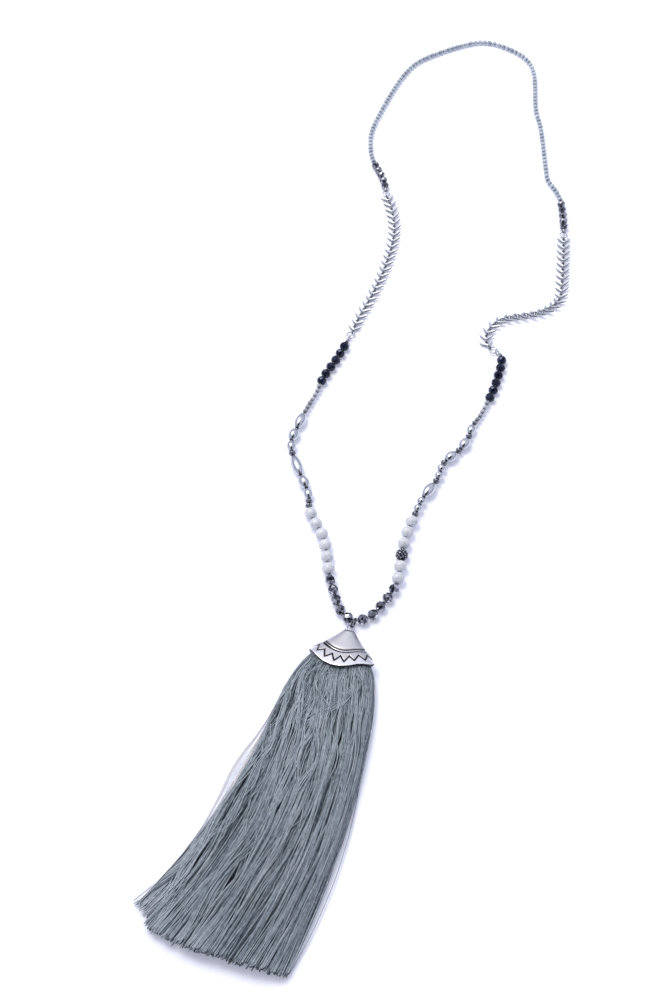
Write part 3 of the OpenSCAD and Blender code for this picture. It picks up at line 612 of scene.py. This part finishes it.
for side, word in words.items():
    silverParts, spacerParts = [], []
    kinds = sides[side][0]
    for i in spotsOf(side, *silverWidths):
        bead = polishedOval(beadLengths[kinds[i]], silverWidths[kinds[i]])
        silverParts.append(moved(bead, *strung(side, i), anyRoll()))
    for i in spotsOf(side, "spacer"):
        spacerParts.append(moved(spacerBead(), *strung(side, i), anyRoll()))
    addPiece("silver_ovals_" + word, silverParts, silverMaterial,
             ["silver_beads_" + word])
    addPiece("spacers_" + word, spacerParts, spacerMaterial, ["spacer_beads_" + word])
print("silver beads are strung")


# Seed beads, each drilled and a little uneven

seed = {
    "bore": 0.2, "boreEnd": 0.42, "shortest": 0.86, "thinnest": 0.93, "neckPitch": 2.9,
    "neckLength": 2.62,
    # place along a seed bead and its radius there, as shares
    "outline": [
        (-0.5, 0.62), (-0.42, 0.8), (-0.25, 0.95), (0, 1.0), (0.25, 0.95), (0.42, 0.8), (0.5, 0.62),
    ],
}


def seedBead(length, width):
    bore = width * seed["bore"]
    inside = seed["boreEnd"] * length
    outside = [(x * length, r * width / 2) for x, r in seed["outline"]]
    return turned([(-inside, bore)] + outside + [(inside, bore)], 14)


def seedRun(spots, length, width):
    # spots are the ends of each bead
    parts = []
    for p, q in spots:
        ownLength = length * rng.uniform(seed["shortest"], 1.0)
        ownWidth = width * rng.uniform(seed["thinnest"], 1.0)
        parts.append(moved(seedBead(ownLength, ownWidth), p, q, anyRoll(), tone=rng.uniform()))
    return parts


def neckAt(s):
    return at(1, s) if s < loopLength / 2 else at(-1, loopLength - s)


neckFrom = neckStart(1)
neckTo = loopLength - neckStart(-1)
neckCount = int(round((neckTo - neckFrom) / seed["neckPitch"]))
marks = [neckFrom + (neckTo - neckFrom) * k / neckCount for k in range(neckCount + 1)]
neckSpots = [(neckAt(marks[k]), neckAt(marks[k + 1])) for k in range(neckCount)]
neckParts = seedRun(neckSpots, seed["neckLength"], beads["neckD"])
addPiece("neck_seed_beads", neckParts, neckMaterial, ["neck_seeds"])
for side, word in words.items():
    seedParts = seedRun([strung(side, i) for i in spotsOf(side, "seed")], beads["seedL"], beads["seedD"])
    addPiece("grey_seed_beads_" + word, seedParts, seedMaterial, ["grey_seeds_" + word])
print("seed beads are strung")


# The dark bead set with tiny stones

pave = {
    "stones": 64, "stoneR": 0.44, "ball": 0.93, "bare": 0.9, "goldenAngle": 2.39996, "roll": 0.4,
    # the stones' rings, from the girdle to the table: height in mm, share of the radius
    "stoneRings": [(-0.15, 1.0), (0.1, 1.0), (0.26, 0.55)],
}


def paveStone(n, r):
    # an eight sided stone on the ball, at the unit vector n
    u = np.cross(n, [1, 0, 0])
    u /= np.linalg.norm(u)
    w = np.cross(n, u)
    points = []
    for height, width in pave["stoneRings"]:
        for b in np.arange(8) * math.pi / 4:
            points.append(n * (r + height) + pave["stoneR"] * width * (math.cos(b) * u + math.sin(b) * w))
    table = np.array([[16, 17, 18, 19], [16, 19, 20, 23], [20, 21, 22, 23]])
    return {"points": np.array(points), "faces": [gridFaces(3, 8), table], "tone": rng.uniform()}


def paveBead():
    width = beads["howliteD"] * pave["ball"]
    parts = [{**turned(roundOutline(width), 32), "deep": 1.0}]
    for k in range(pave["stones"]):
        x = 1 - 2 * (k + 0.5) / pave["stones"]
        if abs(x) > pave["bare"]:
            continue
        a = k * pave["goldenAngle"]
        across = math.sqrt(1 - x * x)
        parts.append(paveStone(np.array([x, across * math.cos(a), across * math.sin(a)]), width / 2))
    return parts


paveSpot = strung(-1, spotsOf(-1, "sparkle")[0])
paveParts = [moved(part, *paveSpot, pave["roll"]) for part in paveBead()]
addPiece("pave_bead", paveParts, spacerMaterial, ["sparkle_r1"], smooth=False)


# Chain links: a bar with an eye at each end and two leaves, joined by upright rings

leaf = {
    "root": (-0.7, 0.0), "eyeRim": 0.15, "bevel": 0.12, "holeBevel": 0.1, "barHalf": 0.55, "barR": 0.3,
    # the eyes and rings are painted dark, as shade at the joints between links
    "barMiddleR": 0.34, "eyeShade": 0.55, "ringShade": 0.8,
    # down a leaf: share of its length, share of its width
    "taper": [
        (0, 0.5), (0.1, 0.7), (0.2, 0.85), (0.32, 0.95), (0.45, 1), (0.58, 0.93), (0.7, 0.8), (0.8, 0.6),
        (0.88, 0.42), (0.95, 0.22), (1, 0.08),
    ],
    # across a leaf: share of the half width, height in thicknesses, how black (painted shade on the leaf's
    # edges, sides and underside)
    "section": [
        (-1, -0.5, 0.9), (-1, 0.3, 1), (-0.84, 0.5, 0.6), (-0.72, 0.46, 0), (0, 0.36, 0), (0.72, 0.46, 0),
        (0.84, 0.5, 0.6), (1, 0.3, 1), (1, -0.5, 0.9), (0.5, -0.5, 0.6), (-0.5, -0.5, 0.6),
    ],
}


def leafArm(side):
    root = np.array(leaf["root"])
    way = np.array([chain["sweep"], side * chain["span"] / 2]) - root
    out = np.array([-way[1], way[0]]) / np.linalg.norm(way) * chain["armW"] / 2
    points, deep = [], []
    for share, width in leaf["taper"]:
        for across, height, black in leaf["section"]:
            p = root + share * way + across * width * out
            points.append((p[0], p[1], height * chain["thick"]))
            deep.append(black)
    faces = gridFaces(len(leaf["taper"]), len(leaf["section"]))
    return {"points": np.array(points), "faces": [faces], "deep": np.array(deep)}


def linkEye(x):
    hole = chain["ringWire"] / 2 + chain["play"]
    rim = chain["ringR"] - leaf["eyeRim"]
    half = chain["thick"] / 2
    bevel = leaf["bevel"]
    part = turned([
        (half, hole + bevel / 2), (half, rim - bevel), (half - bevel, rim), (-half, rim), (-half, hole),
        (half - leaf["holeBevel"], hole),
    ], 20)
    p = part["points"]
    return {**part, "points": np.stack([p[:, 1] + x, p[:, 2], p[:, 0]], 1), "deep": leaf["eyeShade"]}


def chainLink():
    eyeAt = chain["pitch"] / 2 - chain["ringR"]
    end, r = leaf["barHalf"], leaf["barR"]
    bar = turned([(-end, r), (0, leaf["barMiddleR"]), (end, r), (end, r / 6), (-end, r / 6)], 10)
    return [linkEye(-eyeAt), linkEye(eyeAt), leafArm(-1), leafArm(1), bar]


def ringTurned(r, wire):
    count, around = 20, 8
    a = np.repeat(np.arange(count) * 2 * math.pi / count, around)
    b = np.tile(np.arange(around) * 2 * math.pi / around, count)
    w = r + wire / 2 * np.cos(b)
    points = np.stack([w * np.cos(a), wire / 2 * np.sin(b), w * np.sin(a)], 1)
    return {"points": points, "faces": [gridFaces(count, around, closedRows=True)]}


def rollAt(side, k):
    return np.interp(k, *np.array(rollLeft if side > 0 else rollRight, float).T)


def stand(side, k):
    a = math.radians(abs(rollAt(side, k)))
    return chain["span"] / 2 * math.sin(a) + chain["thick"] / 2 * math.cos(a)


def jointAt(side, k):
    p = along(side, chainStart(side) + k * chain["pitch"])
    return np.append(p, max(chainZ, stand(side, k - 1), stand(side, k), stand(side, k + 1)))


link = chainLink()
for side, word in words.items():
    parts = []
    n = chain["links"]
    for k in range(n):
        ends = jointAt(side, k), jointAt(side, k + 1)
        roll = -side * math.radians(rollAt(side, k + 0.5))
        parts += [moved(piece, *ends, roll) for piece in link]
    for k in range(n + 1):
        ends = jointAt(side, max(k - 0.5, 0)), jointAt(side, min(k + 0.5, n))
        ring = ringTurned(chain["ringR"], chain["ringWire"])
        # an end ring is placed on half a link, and moved a quarter of a link out to its eye
        ring["points"] = ring["points"] + [chain["pitch"] / 4 * ((k == n) - (k == 0)), 0, 0]
        parts.append(moved(ring, *ends, -side * math.radians(rollAt(side, k)), deep=leaf["ringShade"]))
    addPiece("leaf_chain_" + word, parts, chainMaterial, ["chain_" + word])
print("chains are linked")


# Cap: a cone pressed flat, with a raised zigzag band

hangHeading = math.radians(239)
capHeading = math.radians(256)
hangPlay = 0.2
# sizes in mm, and places and half widths as shares of the slant
cap = {
    "slant": 22.4, "spread": 40, "tipH": 3.8, "rimH": 9.5, "wall": 1.0, "relief": 0.35, "groove": 0.3,
    "tip": 0.16, "firstStep": 0.676, "secondStep": 0.710, "stepLength": 0.012,
    "firstLine": 0.648, "firstHalf": 0.013, "secondLine": 0.704, "secondHalf": 0.016,
    "zigzags": 16, "zigzagFrom": 0.79, "zigzagTo": 0.91, "zigzagHalf": 0.034, "edge": 0.98,
    "creaseShade": 0.45, "dull": 0.26, "field": 0.3, "eyePlace": 1.2, "evenTurn": 8.7,
}
# the lines and the rim sag left of the middle: place across the cap, share of the slant
capSag = np.array([
    (-1, -0.02), (-0.76, 0.02), (-0.41, 0.075), (-0.16, 0.09), (0.06, 0.08), (0.34, 0.025),
    (0.5, -0.005), (0.66, 0.0), (0.85, 0.03), (1, 0.04),
]).T
# inside the wall, from the rim in: place down the slant, depth in walls, how black (on the inner wall a
# painted shade)
capInside = [(1, 0.05, 0.9), (1, 1, 0.7), (0.8, 1, 0.4), (0.55, 1, 0.4), (0.3, 1, 0.4), (0.16, 1, 0.4)]
spreadSine = math.sin(math.radians(cap["spread"]))


def heading(a):
    return np.stack([np.cos(a), np.sin(a)], axis=-1)


bailSeat = hanger["bailR"] - hanger["bailWire"] / 2 - hanger["threadD"] / 2 - hangPlay
bailReach = hanger["bailR"] - hanger["bailWire"] / 2 - hanger["eyeWire"] / 2 - hangPlay
bailMiddle = at(1, 0)[:2] + bailSeat * heading(hangHeading)
eyeMiddle = bailMiddle + (bailReach + hanger["eyeR"]) * heading(hangHeading)
capPoint = eyeMiddle - cap["eyePlace"] * heading(capHeading)


def capHeight(r):
    return cap["tipH"] + (cap["rimH"] - cap["tipH"]) * r / cap["slant"]


def capAt(r, u, depth):
    # a place on the cap: r down the slant, u round it, inwards by a depth
    a = np.arcsin(np.maximum(spreadSine - depth / r, 0.02)) * np.sin(u)
    p = capPoint + r[..., None] * heading(capHeading + a)
    z = capHeight(r) / 2 + (capHeight(r) / 2 - depth) * np.cos(u)
    return np.concatenate([p, z[..., None]], axis=-1)


def bump(x, middle, half):
    return np.clip(1 - np.abs(x - middle) / half, 0, 1)


def step(x, start, length):
    return np.clip((x - start) / length, 0, 1)


def sagged(share, u):
    front = np.minimum(2 * np.maximum(np.cos(u), 0), 1)
    return share * (1 + np.interp(np.sin(u), *capSag) * share * front)


def capRelief(share, e, u):
    # height over the cone in mm, and how black
    front = step(np.cos(u), -0.35, 0.15)
    rise = sum(step(share, cap[key], cap["stepLength"]) for key in ("firstStep", "secondStep")) / 2
    turn = (e / (2 * math.pi) * cap["zigzags"]) % 1
    middle = cap["zigzagFrom"] + (cap["zigzagTo"] - cap["zigzagFrom"]) * (1 - np.abs(turn - 0.5) * 2)
    zigzag = bump(share, middle, cap["zigzagHalf"])
    # the second line is widest at the left, and cut a little deeper; its black is partly patina in the
    # groove and partly a painted shadow of the band's raised edge
    wide = cap["secondHalf"] * (1 + np.clip(0.1 - np.sin(u), 0, 1))
    first = bump(share, cap["firstLine"], cap["firstHalf"])
    second = np.clip(1.6 * bump(share, cap["secondLine"] - wide * 0.3, wide), 0, 1) * 1.2
    grooves = np.maximum(zigzag, np.maximum(first, second))
    edge = step(share, cap["edge"], 1 - cap["edge"])
    height = cap["relief"] * rise * (1 - 0.5 * edge) - cap["groove"] * np.minimum(grooves, 1)
    # painted shade: a flat dark streak runs down from the point at the cone's right, where that side is
    # shaded
    creaseShade = cap["creaseShade"] * bump(np.sin(u), 0.82 - 0.1 * share, 0.1) * (1 - step(share, 0.3, 0.2))
    # the cone was left a little duller than the band and the rim
    dull = cap["dull"] * (1 - step(share, 0.64, 0.02))
    # black wax was left in the field above the zigzag
    field = cap["field"] * ((share > cap["secondStep"]) & (share < middle))
    return height * front, np.clip(grooves * 2.3 + creaseShade + dull + field, 0, 1) * front


def capPart():
    columns = 352
    # few rows down the plain cone, many on the band
    shares = np.concatenate([np.linspace(cap["tip"], 0.64, 12), np.linspace(0.645, 1.0, 80)])
    e = -np.arange(columns) * 2 * math.pi / columns
    u = e - math.radians(cap["evenTurn"]) * np.sin(2 * e)
    share, turn = np.meshgrid(shares, u, indexing="ij")
    height, deep = capRelief(share, np.broadcast_to(e, share.shape), turn)
    outer = capAt(sagged(share, turn) * cap["slant"], turn, -height)
    # the rim's end face was never polished: black, and the inside is painted grey as shade inside the mouth
    innerShares, depths, dark = np.array(capInside).T
    share, turn = np.meshgrid(innerShares, u, indexing="ij")
    depth = np.broadcast_to(depths[:, None] * cap["wall"], share.shape)
    inner = capAt(sagged(share, turn) * cap["slant"], turn, depth)
    points = np.vstack([outer.reshape(-1, 3), inner.reshape(-1, 3)])
    faces = gridFaces(len(shares) + len(innerShares), columns, closedRows=True)[:, ::-1]
    deep = np.concatenate([deep.ravel(), np.repeat(dark, columns)])
    return {"points": points, "faces": [faces], "deep": deep}


capMaterial = makeSilver("satin_cap", "#FAF9FB", "#2A262A", 0.34, 0.5, 0.05)
addPiece("tassel_cap_zigzag", [capPart()], capMaterial, ["tassel_cap"])
print("cap is pressed")


# Tassel: threads laid in locks, layer over layer

tassel = {
    "length": 153, "height": 10.5, "thread": 0.56, "rimReach": (29, 13), "cutReach": (87, 72),
    "drapeHeading": 236.7, "drapeTurn": 8.1, "headGap": 0.4, "sides": 3, "rows": 31,
    "mouthGap": 0.6, "cutAt": 1.003, "cutUneven": 0.003, "underShort": 0.007, "brightest": 0.83,
    # how much locks lift, open and twist, and threads stray in mm, how unlike their tones are, also as
    # painted sheen along a thread, and how much painted shade darkens threads low in a lock
    "lift": 0.07, "opening": 0.42, "twist": 2.2, "stray": 0.4, "lockTone": 0.04, "threadToneAndSheen": 0.12,
    "lockShade": 1.2,
}
# the cut ends: place across the skirt, share of the length, angle from the cap's heading
cutEnds = np.array([
    (-1, 0.968, -20.3), (-0.85, 1.005, -16.3), (-0.5, 1.003, -10.3), (0, 0.995, -4.3), (0.5, 0.995, 1.3),
    (1, 0.994, 4.6),
]).T
# down the skirt: share of the length, share of the height
skirtRows = np.array([
    (0, 0.72), (0.04, 0.78), (0.09, 0.95), (0.17, 1), (0.32, 0.97), (0.5, 0.89), (0.68, 0.81),
    (0.85, 0.73), (1, 0.66),
]).T
headSpread = math.asin(spreadSine - (cap["wall"] + tassel["headGap"]) / cap["slant"])


def strandPath(v, t):
    # the line of a thread: v across the skirt, t down it
    rimReach, cutReach = (np.interp(v, (-1, 1), tassel[key]) for key in ("rimReach", "cutReach"))
    p = capPoint + cap["slant"] * heading(capHeading + headSpread * v)
    a = capPoint + (cap["slant"] + rimReach)[..., None] * heading(capHeading + headSpread * v)
    share = np.interp(v, cutEnds[0], cutEnds[1])
    turn = np.radians(np.interp(v, cutEnds[0], cutEnds[2]))
    q = capPoint + (tassel["length"] * share)[..., None] * heading(capHeading + turn)
    b = q - cutReach[..., None] * heading(np.radians(tassel["drapeHeading"] + tassel["drapeTurn"] * v))
    s = (1 - t)[..., None]
    t = t[..., None]
    return s**3 * p + 3 * s**2 * t * a + 3 * s * t**2 * b + t**3 * q


def dome(v):
    return 0.28 + 0.72 * np.sqrt(np.maximum(1 - v * v, 0))


def waves(count, knots, amount, t):
    # one slow random wave a row, smooth from knot to knot
    values = rng.normal(0, amount, (count, knots))
    spot = np.clip(t, 0, 1) * (knots - 1)
    i = np.minimum(spot.astype(int), knots - 2)
    s = spot - i
    s = s * s * (3 - 2 * s)
    return values[:, i] * (1 - s) + values[:, i + 1] * s


def tubes(paths, radii):
    # tubes along many paths of equal length: paths (n, rows, 3), radii (n, rows)
    n, rows, _ = paths.shape
    count = tassel["sides"]
    way = np.gradient(paths, axis=1)
    way /= np.linalg.norm(way, axis=2, keepdims=True)
    across = np.cross(way, [0, 0, 1.0])
    across /= np.linalg.norm(across, axis=2, keepdims=True)
    up = np.cross(across, way)
    a = (np.arange(count) * 2 * math.pi / count)[:, None]
    ring = across[:, :, None, :] * np.cos(a) + up[:, :, None, :] * np.sin(a)
    points = (paths[:, :, None, :] + ring * radii[:, :, None, None]).reshape(-1, 3)
    perTube = rows * count
    offsets = (np.arange(n) * perTube)[:, None, None]
    body = (gridFaces(rows, count)[None] + offsets).reshape(-1, 4)
    tip = np.arange(count)[None]
    tips = (np.concatenate([tip[:, ::-1], tip + perTube - count])[None] + offsets).reshape(-1, count)
    return points, [body, tips]


threadT = np.concatenate([np.linspace(0, 0.965, tassel["rows"] - 2), [0.985, 1.0]])
# half of the skirt's width in mm, down the tassel, to turn a shift in mm into one across the skirt
halfWidth = np.interp(threadT, [0, 0.3, 1], [14, 21, 34])


def lockStrands(locks, perLock, level, width, thick, wander):
    # a layer of twisted locks: level and thick are shares of the skirt's height, width is in lock
    # spacings, wander in mm
    n = locks * perLock
    centres = np.linspace(-0.97, 0.97, locks) + rng.uniform(-0.5, 0.5, locks) / locks
    # locks drift sideways and over each other, and open and close, so that dark gaps come and go
    drift = waves(locks, 9, wander, threadT) / halfWidth * np.minimum(threadT * 4, 1)
    lift = waves(locks, 7, tassel["lift"], threadT)
    opened = np.clip(1 + waves(locks, 13, tassel["opening"], threadT), 0.3, 1.6)
    own = np.repeat(np.arange(locks), perLock)
    a = rng.uniform(0, 2 * math.pi, n)[:, None] + rng.normal(0, tassel["twist"], n)[:, None] * threadT
    d = np.sqrt(rng.uniform(0, 1, n))[:, None]
    side = d * np.cos(a) * opened[own] * width / locks
    v = centres[own, None] + drift[own] + side + waves(n, 15, tassel["stray"], threadT) / halfWidth
    w = level + lift[own] + thick * d * np.sin(a) + waves(n, 9, 0.02, threadT)
    tone = 0.5 + rng.normal(0, tassel["lockTone"], locks)[own, None]
    tone = tone + rng.normal(0, tassel["threadToneAndSheen"], n)[:, None]
    # painted shade: threads on top of their lock are brighter, those deeper in it darker; the tone's waves
    # along each thread are painted sheen
    return v, w, tone + waves(n, 20, tassel["threadToneAndSheen"], threadT) + (w - level) * tassel["lockShade"]


def crossingStrands(count, level):
    # single threads that leave their lock and lie across the others
    v = rng.uniform(-0.8, 0.9, count)[:, None] + waves(count, 7, 1.6, threadT) / halfWidth
    middle = rng.uniform(0.2, 0.85, count)[:, None]
    s = step(threadT, middle - 0.045, 0.09)
    v = v + rng.normal(0, 0.13, count)[:, None] * (s * s * (3 - 2 * s) - 0.5)
    # the tone's waves along each thread are painted sheen
    return v, np.full(v.shape, level), 0.62 + waves(count, 9, 0.1, threadT)


def crossingLock(count):
    # one lock that slips over its neighbours from right to left, high on the tassel
    v = np.interp(threadT, [0, 0.12, 0.2, 0.38, 0.5, 1], [0.6, 0.55, 0.37, -0.48, -0.62, -0.68])
    w = np.interp(threadT, [0, 0.09, 0.16, 0.38, 0.47, 1], [0.5, 0.8, 1.0, 1.0, 0.8, 0.4])
    v = v + rng.normal(0, 0.045, count)[:, None] + waves(count, 9, 0.5, threadT) / halfWidth
    # the tone's waves along each thread are painted sheen
    return v, w + rng.normal(0, 0.02, count)[:, None], 0.55 + waves(count, 12, 0.13, threadT)


def buildStrands(v, w, tone, level=1.0):
    v = np.clip(v, -1, 1)
    # the under layers are cut a little shorter
    lengths = tassel["cutAt"] + rng.normal(0, tassel["cutUneven"], len(v))
    lengths -= tassel["underShort"] * (1 - level)
    path = strandPath(v, threadT * lengths[:, None])
    # threads are pressed thinner where they leave the cap
    radius = tassel["thread"] / 2 * np.broadcast_to(0.8 + 0.2 * np.minimum(threadT * 3, 1), v.shape)
    top = np.interp(threadT, *skirtRows) * tassel["height"] * dome(v)
    # near the cap the threads come out of its mouth, clear of the table
    gap = tassel["mouthGap"]
    low = np.interp(threadT, [0, 0.06, 0.14], [cap["wall"] + gap, gap, 0])
    z = low + radius + np.clip(w, 0.0, 1.04) * (top - low - 2 * radius)
    # in the cap's mouth they fill its pointed sides too
    z = z + np.interp(threadT, [0, 0.07, 0.16], [1, 0.6, 0]) * (cap["rimH"] / 2 - (low + top) / 2)
    points, faces = tubes(np.concatenate([path, z[..., None]], axis=2), radius)
    # less light falls below the cap and on the lower half, and the open cut ends catch some
    shade = 0.1 * step(threadT, 0.35, 0.65) + 0.05 * (1 - step(threadT, 0.1, 0.2))
    shade -= 0.12 * step(threadT, 0.97, 0.03)
    # the outer left ends fray and turn pale
    pale = 0.22 * step(-v, 0.72, 0.2) * step(threadT, 0.8, 0.1)
    tone = np.clip(tone - shade + pale, 0, tassel["brightest"])
    return {"points": points, "faces": faces, "tone": np.repeat(tone.ravel(), tassel["sides"])}


def strayStrand(v, bows, z, tone):
    # a loose, thinner thread beside the skirt. Bows: place down the thread, how far out in mm
    out = np.interp(threadT, *np.array(bows, float).T)
    path = strandPath(np.full(threadT.shape, v), threadT)
    way = np.gradient(path, axis=0)
    way /= np.linalg.norm(way, axis=1, keepdims=True)
    away = np.stack([way[:, 1], -way[:, 0]], axis=1) * math.copysign(1, -v)
    path = path + away * out[:, None]
    heights = np.full((len(threadT), 1), z)
    radius = np.full((1, len(threadT)), tassel["thread"] * 0.42)
    points, faces = tubes(np.concatenate([path, heights], axis=1)[None], radius)
    return {"points": points, "faces": faces, "tone": tone}


def makeThread():
    # viscose thread, spun and dyed: soft satin streaks along the thread, painted as sheen in its tone, dull
    # at the cut ends
    material, tree, shader = newMaterial("viscose_thread", {
        "Roughness": 0.6, "Specular IOR Level": 0.25, "Sheen Weight": 0.1, "Sheen Roughness": 0.4})
    tone = addNode(tree, "ShaderNodeAttribute", attribute_name="tone").outputs["Fac"]
    # painted highlights and shade at the thread's turns, drawn at 1.5 mm
    spot = addNode(tree, "ShaderNodeTexCoord").outputs["Object"]
    twistHighlights = addNode(tree, "ShaderNodeTexNoise", {"Vector": spot, "Scale": 650.0, "Detail": 3.0})
    shift = addNode(tree, "ShaderNodeMapRange", {
        "Value": twistHighlights.outputs["Fac"], "From Min": 0.3, "From Max": 0.7, "To Min": -0.13,
        "To Max": 0.13})
    mixed = addNode(tree, "ShaderNodeMath", {0: tone, 1: shift.outputs["Result"]},
                    operation="ADD", use_clamp=True)
    colour = addNode(tree, "ShaderNodeValToRGB", {"Fac": mixed.outputs[0]}, [
        (0.0, "#333D46"), (0.3, "#6D7882"), (0.55, "#97A2AB"), (0.8, "#AEB7BF"), (0.97, "#C2CAD1"),
        (1.0, "#F8F9FD"),
    ])
    tree.links.new(colour.outputs["Color"], shader.inputs["Base Color"])
    return material


threadMaterial = makeThread()
# layers of locks: locks, threads in each, level, width, thickness, wander
topLocks = [(42, 16, 0.86, 1.4, 0.13, 0.9), (34, 4, 0.98, 1.3, 0.04, 1.4)]
underLocks = [(32, 15, 0.56, 1.6, 0.12, 1.0), (24, 13, 0.28, 1.6, 0.12, 1.0), (18, 8, 0.07, 1.6, 0.05, 1.0)]
topParts = [buildStrands(*lockStrands(*row)) for row in topLocks]
topParts += [buildStrands(*crossingStrands(14, 1.03)), buildStrands(*crossingLock(16))]
# loose threads: pale ones that bow out at the left, left tips, and a few at the right
bow = [
    (0, 0), (0.35, 0.02), (0.45, 0.09), (0.53, 0.2), (0.6, 0.34), (0.67, 0.38), (0.74, 0.26),
    (0.82, 0.08), (0.9, 0), (1, 0),
]
# across the skirt, bows, height in mm, tone
strays = [
    (-1.0, [(t, out * k) for t, out in bow], 1.0 + 0.12 * k, rng.uniform(1.08, 1.25))
    for k in (1, 2, 3, 4.2, 5.5, 9, 10.2, 11.2, 12, 12.8)
] + [
    (-0.97, [(0, 0), (0.8, 0), (0.93, 1.5), (1, 4.2)], 1.2, 0.7),
    (-0.93, [(0, 0), (0.82, 0), (0.94, 2.4), (1, 6.2)], 1.5, 0.75),
    (-0.9, [(0, 0), (0.85, 0), (0.95, 1.6), (1, 4.6)], 2.0, 0.9),
    (1.0, [(0, 0), (0.55, 0), (0.68, 1.6), (0.8, 2.4), (0.92, 1.9), (1, 0.4)], 1.4, 0.75),
    (1.0, [(0, 0), (0.1, 0.4), (0.3, 0.5), (0.5, 0), (1, 0)], 3.0, 0.9),
]
topParts += [strayStrand(*stray) for stray in strays]
layers = [lockStrands(*row) for row in underLocks]
# the under layers are darker, but their cut ends show and catch light
underShade = np.interp(threadT, [0.88, 0.95, 1], [0.2, 0.0, -0.35])
underParts = [
    buildStrands(v, w, tone - underShade, row[2]) for (v, w, tone), row in zip(layers, underLocks)
]
addPiece("tassel_threads_top", topParts, threadMaterial, ["tassel"])
addPiece("tassel_threads_under", underParts, threadMaterial, [])
print("tassel is laid")


# Carried-over CAD pieces get their finish

def finish(nodeName, material):
    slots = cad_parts[nodeName].data.materials
    slots.clear()
    slots.append(material)


def makeCord():
    # waxed nylon beading thread, braided: flat grey, barely seen between beads
    material, tree, shader = newMaterial("waxed_nylon", {"Roughness": 0.55})
    spot = addNode(tree, "ShaderNodeTexCoord").outputs["Object"]
    # the braid's turns, drawn at 0.7 mm
    twist = addNode(tree, "ShaderNodeTexNoise", {"Vector": spot, "Scale": 1500.0})
    colour = addNode(tree, "ShaderNodeValToRGB", {"Fac": twist.outputs["Fac"]}, [
        (0.3, "#6F7176"), (0.7, "#A2A4AA")])
    tree.links.new(colour.outputs["Color"], shader.inputs["Base Color"])
    return material


cordMaterial = makeCord()
for word in words.values():
    for kind in ("jump_ring_", "low_loop_", "high_loop_"):
        finish(kind + word, wireMaterial)
finish("bail", bailMaterial)
finish("eye_pin", eyeMaterial)
finish("drop_thread", cordMaterial)
finish("neck_thread", cordMaterial)
print("findings are finished")
